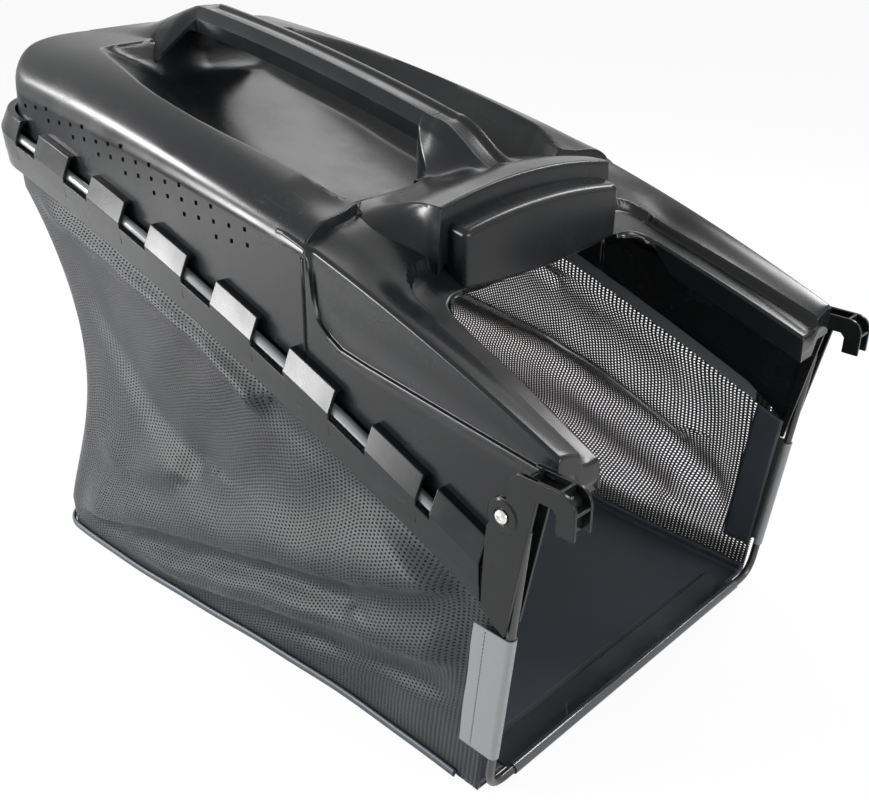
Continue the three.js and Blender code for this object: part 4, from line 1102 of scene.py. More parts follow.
    def deck_height(self, ax: Array, y: Array) -> Array:
        """Height of the raised deck between the arms.

        Args:
            ax: Distances from the middle.
            y: Places along the part.

        Returns:
            The heights.
        """
        level = self.deck_z - 7.0 * ramp((y - 140.0) / 50.0)
        crown = level + self.deck_crown - (self.deck_crown + 1.0) * (ax / self.deck_half) ** 2
        foot = self.deck_foot(y)
        low = self.arm_height(foot, np.maximum(y, 128.0)) - 3.0
        side = lerp(level, low, (ax - self.deck_half) / (foot - self.deck_half))
        return soft_min(crown, side, 2.5)

    def deck_foot(self, y: Array) -> Array:
        """Half width at the foot of the deck's side slope."""
        return lerp(96.0, 119.0, ramp((np.asarray(y, float) - 127.0) / 46.0))

    def deck_columns(self, y: float) -> Array:
        """Distances from the middle of the deck's columns, which follow its side slope."""
        foot = float(self.deck_foot(y)) + 1.0
        zones = ((84.0, 95.0, 16), (95.0, foot, 14))
        return np.concatenate([np.linspace(0, 84, 30)] + [np.linspace(*zone)[1:] for zone in zones])

    def signed(self, half: Array) -> Array:
        """Columns on both sides of the middle."""
        return np.concatenate([-half[::-1], half[1:]])

    def deck(self) -> Object:
        """Raised deck, whose rear face is the front wall of the finger recess."""
        front, front_r, rear_r = self.deck_front, 2.2, 2.5
        turns = np.linspace(0, np.pi / 2, 6)
        edge_halves = (0, 25, 40, 62, 80, 97, 105, 112, 122)
        edge_ys = (199, 197, 191, 188, 193, 201, 194, 193, 190)
        rear = np.interp(self.deck_columns(260.0), edge_halves, edge_ys)
        rear = np.concatenate([rear[::-1], rear[1:]])
        x = self.signed(self.deck_columns(front))
        top = self.deck_height(np.abs(x), np.full_like(x, front))
        low_z = 322.0
        rows = [xyz(x, front, np.minimum(top - 0.5, np.maximum(top - drop, low_z))) for drop in (40, 20, 4)]
        for a in turns:
            rows.append(xyz(x, front + front_r * (1 - math.cos(a)), top - front_r * (1 - math.sin(a))))
        for part in np.linspace(0, 1, 30)[1:]:
            x = self.signed(self.deck_columns(lerp(front + front_r, 198.0, part)))
            y = lerp(front + front_r, rear - rear_r, part)
            rows.append(xyz(x, y, self.deck_height(np.abs(x), y)))
        edge = rows[-1]
        rows += [edge + np.array([0.0, rear_r * math.sin(a), -rear_r * (1 - math.cos(a))]) for a in turns[1:]]
        edge = rows[-1]
        rows += [edge + np.array([0.0, 0.42 * drop, -drop]) for drop in (4.0, 12.0, 24.0, 40.0, 56.0)]
        return self.sheet(MeshStore().grid(np.array(rows)), "cover_deck")

    def block(self) -> Object:
        """Low block along the rear of the notch."""
        x = np.linspace(-self.block_half, self.block_half, 40)
        arch = 1.0 - (x / self.block_half) ** 2
        low = lerp(313.0, 308.0, arch)
        top = self.block_rise * arch
        front, back = self.block_front, self.block_back
        edges = ((front, low), (front, 353.0 + top), (back, 357.0 + top), (back, low))
        rings = np.array([xyz(x, y, z) for y, z in edges]).transpose(1, 0, 2)
        piece = MeshStore().tube(rings).build("cover_block", 40)
        add_bevel(piece, self.block_round, 5, 40)
        return piece

    def rim_point(self, t: Array, out: Array, up: Array) -> Array:
        """Points beside the rim path, which runs from the left front round the rear.

        Args:
            t: Distance along the path from the middle of the rear, negative on the left.
            out: Distance outward from the path.
            up: Height above the skirt line.

        Returns:
            The points.
        """
        rear_half = self.foot_half - self.corner_r
        corner = math.pi / 2 * self.corner_r
        corner_y = self.foot_rear_y - self.corner_r
        run = np.abs(t)
        turn = np.clip((run - rear_half) / self.corner_r, 0, math.pi / 2)
        x = np.minimum(run, rear_half) + (self.corner_r + out) * np.sin(turn)
        y = corner_y + (self.corner_r + out) * np.cos(turn) - np.clip(run - rear_half - corner, 0, None)
        side = np.where(t < 0, -1.0, 1.0)
        return xyz(side * x, y, SKIRT_LINE.at(np.minimum(y, self.foot_rear_y)) + up)

    def rim_run(self, y: float) -> float:
        """Distance along the rim path of a place on a straight side."""
        rear_half = self.foot_half - self.corner_r
        return rear_half + math.pi / 2 * self.corner_r + (self.foot_rear_y - self.corner_r - y)

    def rim_strip(
        self,
        store: MeshStore,
        t0: float,
        t1: float,
        section: Sequence[tuple[float, float]],
        spacing: float = 6.0,
    ) -> None:
        """Add a closed strip that follows the rim.

        Args:
            store: Where the strip goes.
            t0: First place on the rim path.
            t1: Last place on the rim path.
            section: Outline of the strip, outward and up from the path.
            spacing: Distance between its rings.
        """
        stations = np.linspace(t0, t1, max(3, int(abs(t1 - t0) / spacing) + 1))
        ring = np.array(section)
        store.tube(self.rim_point(stations[:, None], ring[None, :, 0], ring[None, :, 1]))

    def skirt(self) -> Object:
        """Skirt below the walls and the raised pads that close over the rim wire."""
        store = MeshStore()
        outer, height = self.skirt_out, self.skirt_height
        inner = outer - self.skirt_wall
        reach = self.rim_run(self.end_pad_y)
        band = [(inner - 1.5, 0.0), (outer - 1.5, 0.0), (outer, height), (inner, height)]
        self.rim_strip(store, -reach, reach, band)
        top, ledge, shoulder, foot = self.pad_top, self.pad_ledge, self.pad_shoulder, 12.0
        out, under = outer + 0.15, top - self.skirt_wall
        pad = [(out - 0.6, foot), (out, shoulder), (ledge, top), (-1.0, top)]
        pad += [(-1.0, under), (ledge - 2.0, under), (inner, shoulder - 1.0), (inner - 0.6, foot)]
        spans = [(self.rim_run(self.first_pad_y + i * self.pad_pitch), self.pad_length) for i in range(6)]
        spans.append((reach, self.end_pad_length))
        rear_half = self.foot_half - self.corner_r
        corner = math.pi / 2 * self.corner_r
        for side in (-1, 1):
            for run, length in spans:
                self.rim_strip(store, side * run, side * (run - length), pad)
            self.rim_strip(store, side * (rear_half - 8.0), side * (rear_half + corner + 12.0), pad, 4.0)
            middle = side * self.pad_pitch / 2
            self.rim_strip(store, middle - self.pad_length / 2, middle + self.pad_length / 2, pad)
        skirt = store.build("cover_skirt", 25)
        add_bevel(skirt, 0.7, 2, 25)
        return skirt

    def grooved(self, ax: Array, y: Array) -> Array:
        """Top of the handle: flat with bevelled edges and a groove along the middle.

        Args:
            ax: Distances from the middle.
            y: Places along the part.

        Returns:
            The heights.
        """
        lift = np.clip((y - 147.0) / 62.0, 0, 1)
        line = np.where(y < 209.0, lerp(374.0, BAR_LINE.at(209.0), ramp(lift)), BAR_LINE.at(y))
        bevel = 9.0 * ramp((y - 150.0) / 30.0) * np.clip((ax - 13.0) / 7.0, 0, None)
        return line - bevel - self.groove * np.exp(-((ax / 8.8) ** 6)) * ramp((y - 153.0) / 9.0)

    def pillar(self) -> Object:
        """Front pillar of the handle, whose flanks run out on the deck."""
        half = np.array([0, 2, 4.5, 6.6, 8, 9.2, 10.5, 12.6, 13.4, 16.5, 19.4, 20.2])
        half = np.concatenate([half, np.linspace(21.5, 50.0, 18)])
        x = self.signed(half)
        ax = np.abs(x)
        last = lerp(221.0, 193.0, ramp((ax - 16.0) / 24.0))
        rows = []
        for share in np.linspace(0, 1, 44):
            y = lerp(145.0, last, share)
            top = self.grooved(np.minimum(ax, 20.0), y)
            deck = self.deck_height(np.minimum(ax, 50.0), y) - 0.8
            spread = lerp(50.0, 42.0, np.clip((y - 147.0) / 62.0, 0, 1))
            rest = np.clip((spread - ax) / (spread - 20.0), 0, 1) ** 2.0
            rise = np.maximum(top - deck, 0.0) * np.where(ax <= 20.2, 1.0, rest)
            rows.append(xyz(x, y, deck + rise))
        edge = rows[-1]
        for back, drop in ((0.8, 0.4), (1.6, 2.0), (2.2, 8.0), (3.0, 24.0), (4.0, 46.0)):
            rows.append(edge + np.array([0.0, back, -drop]))
        piece = MeshStore().grid(np.array(rows)).build("cover_handle_pillar", 28)
        self.face_up(piece)
        return piece

    def handle(self) -> Object:
        """Bar of the bow handle and its arch over the hood's pocket."""
        half_x = np.array([0, 2, 4.5, 6.6, 8, 9.2, 10.5, 12.6, 13.4, 19.2, 20.0])
        rows = ([214.0, 219.0, 221.2, 222.4], np.arange(226.0, 496.0, 4.0), np.arange(496.0, 546.0, 1.6))
        y = np.concatenate(rows)[:, None]
        arch = ramp((y - 499.0) / 20.0)
        foot = lerp(54.0, 78.0, np.clip((y - 502.0) / 86.0, 0, 1)) - 0.6
        x = half_x * lerp(1.0, foot / self.bar_half, arch)
        bar = self.grooved(x, y) - 1.0 * (y < 220.0)
        top = lerp(bar, self.hood_top(x, y), arch) - (0.5 * ramp((y - 531.0) / 3.0) - 0.05)
        under = np.minimum(lerp(BAR_LINE.at(y) - 21.0, top - self.wall, ramp(arch * 3.0)), top - self.wall)
        lower = xyz(x * lerp(0.94, 1.0, arch), y, under)
        rings = np.concatenate([xyz(x, y, top), lower[:, ::-1]], axis=1)
        left = rings[:, ::-1][:, 1:-1] * np.array([-1.0, 1.0, 1.0])
        return MeshStore().tube(np.concatenate([rings, left], axis=1)).build("cover_handle", 28, 1e-6)

    def vent_points(self) -> Array:
        """Centres of the small vent holes in both side walls."""
        points = []
        for row, count in enumerate(self.vent_counts):
            row_y = self.vent_rear_y - row * self.vent_row_pitch
            for i in range(count):
                y = row_y - i * self.vent_pitch
                z = float(SHOULDER_LINE.at(row_y)) - 13.0 - row * 2.5 + i * 1.04
                edge = SHOULDER_LINE.at(y)
                fall = (edge - self.shoulder_r - z) / (edge - SKIRT_LINE.at(y) - 27.0)
                x = float(lerp(self.half, self.foot_half, np.clip(fall, 0, 1)))
                points += [(side * (x - 0.02), y, z) for side in (-1.0, 1.0)]
        return np.array(points)

    def build(self, palette: Palette) -> None:
        """Make and dress the cover's pieces.

        Args:
            palette: The materials.
        """
        makers = (self.arms, self.rear_body, self.deck, self.block, self.skirt, self.pillar, self.handle)
        for make in makers:
            palette.dress(make(), Slot.COVER, "top_cover")
        # The vents are not cut: near-black plugs set on the walls paint the shade inside the holes.
        tree = build_repeat_tree(Copy.DIAMOND, palette.made[Detail.PAINTED_HOLE_SHADE])
        points = self.vent_points()
        heading = np.tile([0.0, 0.7071, 0.7071], (len(points), 1))
        facing = xyz(np.sign(points[:, 0]), 0.0, 0.0)
        vents = repeat_on_points("cover_vents", tree, points, heading, facing, self.vent_size)
        palette.dress(vents, Slot.COVER, look=Detail.PAINTED_HOLE_SHADE)


# Wires and clip strips

@dataclass
class WireFrame:
    """The two bent wires and the strips clipped on them."""

    radius: float = 3.2
    half: float = 175.2
    corner: float = 18.0
    low: float = WIRE_Z
    top: float = 226.0
    strip_in: float = 3.5
    strip_out: float = 4.3
    flange: float = 27.0
    side_span: tuple[float, float] = (38.0, 143.0)
    bottom_half: float = 149.0
    rim_out: float = 5.2
    rim_up: float = 28.0

    def mouth_path(self) -> Array:
        """Centre line of the mouth wire, from its left end round the bottom to its right end."""
        turn = np.linspace(0, 1, 12)[:, None]
        w, low, r = -self.half, self.low, self.corner
        a, b, c = np.array([w, low + r]), np.array([w, low]), np.array([w + r, low])
        bend = (1 - turn) ** 2 * a + 2 * turn * (1 - turn) * b + turn**2 * c
        left = np.concatenate([[[w, self.top]], bend])
        x, z = np.concatenate([left, left[::-1] * np.array([-1.0, 1.0])]).T
        return xyz(x, mouth_y(z), z)

    def clip_section(self, level: float) -> Array:
        """Closed outline of a strip, a hook round the wire and a flange.

        Args:
            level: Height of the flange's lower face above the wire's centre.

        Returns:
            Points back and up from the wire's centre.
        """
        lip = math.radians(62) - 2 * math.pi
        upper = level + self.strip_out - self.strip_in
        out0 = math.asin(max(-1.0, level / self.strip_out))
        in0 = math.asin(max(-1.0, upper / self.strip_in))
        inner = arc((0, 0), self.strip_in, in0, lip, 24)
        outer = arc((0, 0), self.strip_out, lip, out0, 24)
        return np.array([(self.flange, level), (self.flange, upper), *inner, *outer])

    def side_strip(self, side: int) -> Object:
        """Clip strip on one upright of the mouth wire.

        Args:
            side: -1 on the left, 1 on the right.

        Returns:
            The strip.
        """
        back, up = self.clip_section(-self.strip_out).T
        z = np.linspace(*self.side_span, 14)[:, None]
        y = mouth_y(z) + back + 0.35 * np.sin(z / 9.0) * (back > 20)
        return MeshStore().tube(xyz(side * (self.half - up), y, z)).build(f"mouth_clip_{SIDES[side]}", 40)

    def bottom_strip(self) -> Object:
        """Clip strip on the bottom of the mouth wire."""
        back, up = self.clip_section(1.7 - self.strip_out).T
        x = np.linspace(-self.bottom_half, self.bottom_half, 40)[:, None]
        wave = np.abs(0.25 * np.sin(x / 14.0))
        z = self.low + up + wave * (back > 20)
        return MeshStore().tube(xyz(x, back, z)).build("mouth_clip_bottom", 40)

    def build(self, palette: Palette, cover: TopCover) -> None:
        """Make and dress the wires and strips.

        Args:
            palette: The materials.
            cover: The cover, which gives the path of the rim.
        """
        rings = sweep(resample(self.mouth_path(), 4.0), self.radius, 16)
        palette.dress(MeshStore().tube(rings).build("mouth_frame_wire"), Slot.WIRE, "mouth_wire")
        reach = cover.rim_run(10.0)
        path = cover.rim_point(np.linspace(-reach, reach, 260), self.rim_out, self.rim_up)
        rings = sweep(path, self.radius, 12)
        palette.dress(MeshStore().tube(rings).build("rim_frame_wire"), Slot.WIRE, "rim_wire")
        for side, label in SIDES.items():
            palette.dress(self.side_strip(side), Slot.STRIP, f"mouth_strip_{label}")
        palette.dress(self.bottom_strip(), Slot.STRIP, "mouth_strip_bottom", look=Detail.HEM)


# Hook brackets

@dataclass
class HookBracket:
    """Moulded bracket with its plate, channel, hook and screw."""

    side: int
    outer: float = 182.0
    plate: float = 3.0
    inner: float = 165.3
    rib: float = 2.3
    screw_y: float = -11.0
    screw_z: float = 233.0
    boss_r: float = 12.0
    top: float = 265.5
    front: float = -61.5
    corner_r: float = 9.0
    hook_r: float = 11.0
    cross_deg: float = 38.0

    def prism(self, store: MeshStore, outline: Sequence[tuple[float, float]], x0: float, x1: float) -> None:
        """Add a closed prism.

        Args:
            store: Where the prism goes.
            outline: Its side outline, in y and z.
            x0: Distance of its inner face from the middle.
            x1: Distance of its outer face.
        """
        y, z = np.array(outline).T
        store.tube(np.array([xyz(self.side * x, y, z) for x in (x0, x1)]), flip=self.side < 0)

    def plate_outline(self) -> list[tuple[float, float]]:
        """Side outline of the outer plate."""
        pi, r = math.pi, self.corner_r
        points = [(-15.0, 147.0), (4.7, 160.0), (3.5, 190.0), (1.4, 221.0)]
        points += arc((self.screw_y, self.screw_z), self.boss_r, -pi / 5, pi * 0.55, 12)
        points += arc((-24.0, self.top - r), r, pi * 0.05, pi * 0.5, 6)
        return points + [(-35.0, self.top), (-35.0, 253.0)]

    def hook_outline(self, drop: float) -> list[tuple[float, float]]:
        """Side outline of the hook, with its upper and front faces set back by drop.

        Args:
            drop: How far the upper and front faces are set back.

        Returns:
            Points in y and z.
        """
        r = self.hook_r
        points = [(-22.0, 253.0), (-22.0, self.top - drop)]
        points += arc((self.front + r, self.top - r), r - drop, math.pi / 2, math.pi, 8)
        return points + [(self.front + drop, 238.0), (-49.0, 238.0), (-49.0, 250.0), (-46.0, 253.0)]

    def body(self) -> Object:
        """The one-piece moulding."""
        store = MeshStore()
        inner, outer = self.inner, self.outer
        self.prism(store, self.plate_outline(), outer - self.plate, outer)
        self.prism(store, self.hook_outline(0.0), outer - 2.6, outer - 0.02)
        self.prism(store, self.hook_outline(0.0), inner, inner + self.rib)
        self.prism(store, self.hook_outline(5.5), inner + 1.0, outer - 1.0)
        high = self.top - 0.2
        webs = ((-29.0, -26.5, 255, high), (-50.8, -48.6, 255, high), (self.front + 0.3, -55.0, 252.5, 254.7))
        for y0, y1, z0, z1 in webs:
            self.prism(store, [(y0, z0), (y1, z0), (y1, z1), (y0, z1)], inner + 1.0, outer - 1.0)
        low, high = 151.0, 254.0
        behind = [(float(mouth_y(z)) + 4.4, z) for z in (low, high)]
        self.prism(store, [(-15.0, low), *behind, (-35.0, high)], inner, inner + self.rib)
        body = store.build(f"hook_moulding_{self.label}", 30)
        add_bevel(body, 0.5, 2, 30)
        return body

    @property
    def label(self) -> str:
        """Left or right."""
        return SIDES[self.side]

    def boss(self) -> Object:
        """Low raised ring round the screw."""
        profile = [(5.6, 0.0), (5.6, 0.8), (6.0, 1.1), (10.4, 1.1), (11.2, 0.5), (11.6, 0.0)]
        return self.turned(f"hook_boss_{self.label}", profile, self.outer - 0.1)

    def turned(self, name: str, profile: Sequence[tuple[float, float]], base: float) -> Object:
        """Make a turned piece on the screw's axis.

        Args:
            name: Name of the piece.
            profile: Radius and height above base of each ring.
            base: Distance of the base from the middle.

        Returns:
            The piece.
        """
        angle = np.linspace(0, 2 * np.pi, 32, endpoint=False)
        r, h = np.array(profile).T[..., None]
        y, z = self.screw_y + r * np.cos(angle), self.screw_z + r * np.sin(angle)
        return MeshStore().tube(xyz(self.side * (base + h), y, z)).build(name)

    def screw(self) -> Object:
        """Pan head screw with a cross recess, sunk by four wedges."""
        profile = [(2.5, -24.0), (2.5, 0.0), (4.7, 0.0), (4.8, 0.5), (4.6, 1.7)]
        profile += [(3.7, 2.7), (2.4, 3.2), (1.2, 3.35), (0.1, 3.4)]
        base = self.outer + 0.1
        screw = self.turned(f"bracket_pan_screw_{self.label}", profile, base)
        store = MeshStore()
        for turn in (0.0, 90.0):
            a = math.radians(self.cross_deg + turn)
            along = np.array([math.cos(a), math.sin(a)]) * 2.7
            across = np.array([-math.sin(a), math.cos(a)]) * 0.55
            ring = []
            signs = ((1, 1), (-1, 1), (-1, -1), (1, -1))
            for depth, scale in ((2.3, 0.5), (4.2, 1.0)):
                y, z = np.array([i * along * scale + j * across for i, j in signs]).T
                ring.append(xyz(self.side * (base + depth), self.screw_y + y, self.screw_z + z))
            store.tube(np.array(ring))
        cutter = store.build("cross_cutter")
        cut = screw.modifiers.new("cross", "BOOLEAN")
        cut.object = cutter
        cut.operation = "DIFFERENCE"
        cut.solver = "EXACT"
        cut.use_self = True
        applied(screw)
        bpy.data.objects.remove(cutter)
        return screw

    def build(self, palette: Palette) -> None:
        """Make and dress the bracket's pieces."""
        palette.dress(self.body(), Slot.BRACKET, f"hook_bracket_{self.label}")
        palette.dress(self.boss(), Slot.BRACKET)
        palette.dress(self.screw(), Slot.ZINC, f"bracket_screw_{self.label}")


# Bag

@dataclass(frozen=True)
class Fold:
    """A long fold of the cloth: a ridge, or a valley where height is negative, along a run of points."""

    line: tuple[tuple[float, float], ...]
    height: float
    width: float
    skew: float = 0.35

    def lift(self, y: Array, z: Array) -> Array:
        """Distance that the cloth stands out at y and z.

        Args:
            y: Places along the part.
            z: Heights.

        Returns:
            The distances, negative in a valley.
        """
        best = np.full(np.shape(y), 1e9)
        above = np.zeros(np.shape(y))
        for (y0, z0), (y1, z1) in zip(self.line[:-1], self.line[1:]):
            dy, dz = y1 - y0, z1 - z0
            t = np.clip(((y - y0) * dy + (z - z0) * dz) / (dy * dy + dz * dz), 0, 1)
            ey, ez = y - (y0 + t * dy), z - (z0 + t * dz)
            gap = np.hypot(ey, ez)
            closer = gap < best
            best = np.where(closer, gap, best)
            above = np.where(closer, ez, above)
        width = self.width * np.where(above > 0, 1.0 + self.skew, 1.0 - self.skew)
        return self.height * np.exp(-((best / width) ** 2))


@dataclass
class Bag:
    """The sewn bag: net walls, vinyl floor, bindings, piping and seams."""

    floor_front: float = 177.5
    floor_rear: float = 206.0
    floor_rear_y: float = 532.0
    rear_hollow: float = 40.0
    corner_r: float = 30.0
    top_corner_r: float = 42.0
    top_half: float = 172.0
    top_out: float = 2.0
    top_up: float = 24.0
    tray: float = 28.0
    tray_share: float = 1.0 / 9.0
    hang_from: float = 0.88
    bulge: float = 12.0
    fold_gain: float = 1.7
    fabric: float = 0.7
    vinyl: float = 1.2
    floor_z: float = 1.45
    stitch_pitch: float = 3.4
    stitch_size: tuple[float, float, float] = (2.4, 0.6, 0.5)
    left_folds: tuple[Fold, ...] = (
        Fold(((560, 312), (513, 304), (440, 290), (374, 272), (294, 250), (235, 226)), 8.0, 17.0),
        Fold(
            ((545, 22), (520, 26), (430, 52), (348, 78), (217, 108), (112, 134), (18, 168)), 10.0, 22.0, 0.5
        ),
        Fold(((540, 2), (450, 20), (348, 44), (230, 78), (130, 100)), -5.0, 13.0),
        Fold(((400, 8), (352, 18), (237, 50), (143, 77), (69, 93), (9, 108)), 7.0, 16.0, 0.4),
        Fold(((300, 4), (200, 28), (110, 52), (40, 66)), -4.0, 13.0),
        Fold(((490, 250), (430, 215), (360, 170), (300, 150)), -4.0, 26.0),
        Fold(((480, 120), (400, 110), (330, 130)), 3.0, 18.0),
    )
    right_folds: tuple[Fold, ...] = (
        Fold(((420, 140), (330, 135), (250, 130), (180, 110), (110, 100), (30, 60)), 6.0, 16.0),
        Fold(((430, 190), (330, 175), (250, 165), (170, 150), (90, 120)), -5.0, 18.0),
        Fold(((520, 26), (430, 52), (348, 70), (217, 66), (112, 40)), 7.0, 18.0),
        Fold(((560, 312), (440, 290), (294, 250), (235, 226)), 5.0, 16.0),
    )

    def rise(self, w: Array) -> Array:
        """Share of the sloping part of the wall at height share w."""
        return np.clip((w - self.tray_share) / (self.hang_from - self.tray_share), 0, 1)

    def wall_z(self, w: Array, y: Array) -> Array:
        """Height at share w."""
        top = SKIRT_LINE.at(np.minimum(y, REAR_Y)) + self.top_up
        upper = lerp(self.tray, top, (w - self.tray_share) / (1 - self.tray_share))
        return np.where(w <= self.tray_share, self.tray * w / self.tray_share, upper)

    def rear_plane(self, w: Array) -> Array:
        """Place of the rear wall at height share w."""
        rise = self.rise(w)
        plane = lerp(self.floor_rear_y, REAR_Y + self.top_out, rise**3)
        return plane - self.rear_hollow * np.sin(np.pi * rise)

    def corner(self, w: Array) -> Array:
        """Corner radius at height share w."""
        return lerp(self.corner_r, self.top_corner_r, self.rise(w))

    def floor_half(self, y: Array) -> Array:
        """Half width of the bag at the ground."""
        return lerp(self.floor_front, self.floor_rear, ramp((y - 90.0) / (self.floor_rear_y - 130.0)))

    def side_point(self, side: int, u: Array, w: Array) -> Array:
        """Points of a side wall.

        Args:
            side: -1 on the left, 1 on the right.
            u: Share of the way from the front edge to the rear corner.
            w: Share of the way up.

        Returns:
            The points.
        """
        rise = self.rise(w)
        front = mouth_y(self.wall_z(w, np.zeros_like(w))) + 6.3
        y = lerp(front, self.rear_plane(w) - self.corner(w), u)
        z = self.wall_z(w, y)
        calm = ramp(u * 8) * ramp((1 - rise) * 7) * ramp(rise * 9)
        swell = self.bulge * np.sin(np.pi * rise) * calm * np.sin(np.pi * u)
        x = lerp(self.floor_half(y), self.top_half, ramp(rise)) + swell
        from_front = ramp((y - front - 24.0) / 30.0)
        below_rim = ramp((SKIRT_LINE.at(y) - 3.0 - z) / 24.0)
        settle = from_front * below_rim * ramp((z - 8.0) / 26.0) * ramp((1.0 - u) * 8)
        lift = sum(f.lift(y, z) for f in (self.left_folds if side < 0 else self.right_folds))
        fine = 0.5 * np.sin(y / 11.0 + z / 17.0) + 0.4 * np.sin(y / 23.0 - z / 9.0 + 1.3)
        return xyz(side * (x + settle * (self.fold_gain * lift + fine)), y, z)

    def wall(self) -> tuple[Array, Array]:
        """Points of the whole wall from the left front round the rear to the right front.

        Returns:
            The points, rows by columns by 3, and the distance along the wall of each column.
        """
        w = np.concatenate([np.linspace(0, self.tray_share, 8)[:-1], np.linspace(self.tray_share, 1, 74)])
        u = np.linspace(0, 1, 122)
        ws, us = np.meshgrid(w, u, indexing="ij")
        r, rise = self.corner(w)[:, None], self.rise(w)[:, None]
        rear_z = self.wall_z(w, np.full_like(w, REAR_Y))[:, None]
        turn = np.linspace(0, np.pi / 2, 14)[None, 1:-1]
        sides, corners, half, rear_y = {}, {}, 0.0, 0.0
        for side in SIDES:
            sides[side] = self.side_point(side, us, ws)
            x, y, z = (sides[side][:, -1, k, None] for k in range(3))
            centre_x = np.abs(x) - r
            z = lerp(z, rear_z, np.sin(turn) ** 2)
            corners[side] = xyz(side * (centre_x + r * np.cos(turn)), y + r * np.sin(turn), z)
            half = half + centre_x / 2
            rear_y = rear_y + (y + r) / 2
        middle = np.linspace(-1, 1, 56)[None, :]
        sag = 5.0 * np.sin(np.pi * rise) * np.cos(middle * np.pi / 2)
        crumple = 2.5 * np.sin(middle * 9.0 + rise * 5.0) * np.sin(np.pi * rise) * (1 - middle**4)
        rear = xyz(half * middle, rear_y - sag + crumple, rear_z)
        parts = [sides[-1], corners[-1], rear, corners[1][:, ::-1], sides[1][:, ::-1]]
        points = np.concatenate(parts, axis=1)
        mid = points[points.shape[0] // 3]
        run = np.concatenate([[0.0], np.cumsum(np.linalg.norm(np.diff(mid, axis=0), axis=1))])
        return points, run

    def walls(self) -> Object:
        """Net walls as one lofted shell."""
        points, run = self.wall()
        rows, cols = points.shape[:2]
        obj = mesh_piece("bag_walls", points.reshape(-1, 3), grid_faces(rows, cols))
        spread = obj.data.attributes.new("spread", "FLOAT", "POINT")
        open_right = np.clip(points[..., 0] / 120.0, 0, 1) * np.clip((points[..., 2] - 20.0) / 10.0, 0, 1)
        spread.data.foreach_set("value", open_right.ravel())
        steps = np.linalg.norm(np.diff(points, axis=0), axis=2)
        climb = np.concatenate([np.zeros((1, cols)), np.cumsum(steps, axis=0)])
        flat = np.stack([np.broadcast_to(run, climb.shape), climb], axis=-1).reshape(-1, 2) / 1000.0
        layer = obj.data.uv_layers.new(name="cloth")
        corners = np.zeros(len(obj.data.loops), int)
        obj.data.loops.foreach_get("vertex_index", corners)
        layer.data.foreach_set("uv", flat[corners].ravel())
        add_wall(obj, self.fabric, 1.0)
        return obj

    def floor_outline(self, out: float) -> Array:
        """Outline of the floor, from the left front round the rear to the right front.

        Args:
            out: Distance outward from the wall.

        Returns:
            The points.
        """
        points, _ = self.wall()
        base = points[0].copy()
        step = np.gradient(base, axis=0)
        normal = xyz(step[:, 1], -step[:, 0], 0.0)
        normal /= np.linalg.norm(normal, axis=1, keepdims=True)
        return base - normal * out

    def floor(self) -> Object:
        """Vinyl floor with low waves and its edges turned up."""
        edge_x, edge_y, _ = self.floor_outline(-2.4).T
        rows = []
        for k in np.linspace(0, 1, 26) ** 0.8:
            x, y = edge_x * k, lerp(np.clip(edge_y, 6.5, 500.0), edge_y, k)
            wave = 0.8 * np.sin(x / 41.0) * np.sin(y / 57.0) * np.sin(np.pi * k)
            rows.append(xyz(x, y, self.floor_z + np.abs(wave) * (1 - k) ** 0.3))
        rows += [xyz(edge_x, edge_y, self.floor_z + up) for up in (0.4, 1.5, 4.0, 7.5)]
        faces = grid_faces(len(rows), len(edge_x), flip=True)
        obj = mesh_piece("bag_floor", np.array(rows).reshape(-1, 3), faces)
        clean(obj.data, 2e-5, outward=False)
        add_wall(obj, self.vinyl, 1.0)
        return obj

    def binding(self, side: int) -> Object:
        """Vinyl band inside one front edge of the net.

        Args:
            side: -1 on the left, 1 on the right.

        Returns:
            The band.
        """
        w = np.linspace(0.13, 0.9, 34)
        across = np.linspace(0.0, 26.0, 9)[:, None] + 0.6
        start, point = (self.side_point(side, np.full_like(w, u), w)[:, None] for u in (0.0, 0.02))
        direction = (point - start) / np.linalg.norm(point - start, axis=-1, keepdims=True)
        points = start + direction * across - np.array([side * 1.2, 0.0, 0.0])
        faces = grid_faces(*points.shape[:2])
        obj = mesh_piece(f"net_binding_{SIDES[side]}", points.reshape(-1, 3), faces)
        add_wall(obj, 0.8, 0.0)
        return obj

    def edging(self) -> Object:
        """Folded edging tape round the ground line, as a soft flattened tube."""
        outline = resample(self.floor_outline(2.6), 5.0)[4:-4]
        outline[:, 2] = 3.4 + 0.35 * np.sin(np.arange(len(outline)) / 3.1)
        centre = outline[:, None]
        offset = (sweep(outline, 1.0, 14) - centre) * np.array([1.9, 1.9, 3.3])
        return MeshStore().tube(centre + offset).build("ground_edging", 60)

    def stitches(self, palette: Palette) -> None:
        """Rows of stitches on the floor and on the side strips.

        Args:
            palette: The materials.
        """
        tree = build_repeat_tree(Copy.STITCH, palette.made[Detail.THREAD])
        z = np.linspace(42.0, 140.0, 30)
        rows = {"floor_seam": (xyz(np.linspace(-148.0, 148.0, 60), 33.0, 1.7), (0.0, 0.0, 1.0))}
        for side, label in SIDES.items():
            rows[f"clip_seam_{label}"] = (xyz(side * 179.7, mouth_y(z) + 17.0, z), (float(side), 0.0, 0.0))
        for name, (path, outward) in rows.items():
            points = resample(path, self.stitch_pitch)
            heading = np.gradient(points, axis=0)
            heading /= np.linalg.norm(heading, axis=1, keepdims=True)
            facing = np.tile(outward, (len(points), 1))
            obj = repeat_on_points(name, tree, points, heading, facing, self.stitch_size)
            palette.dress(obj, Slot.VINYL, look=Detail.THREAD)

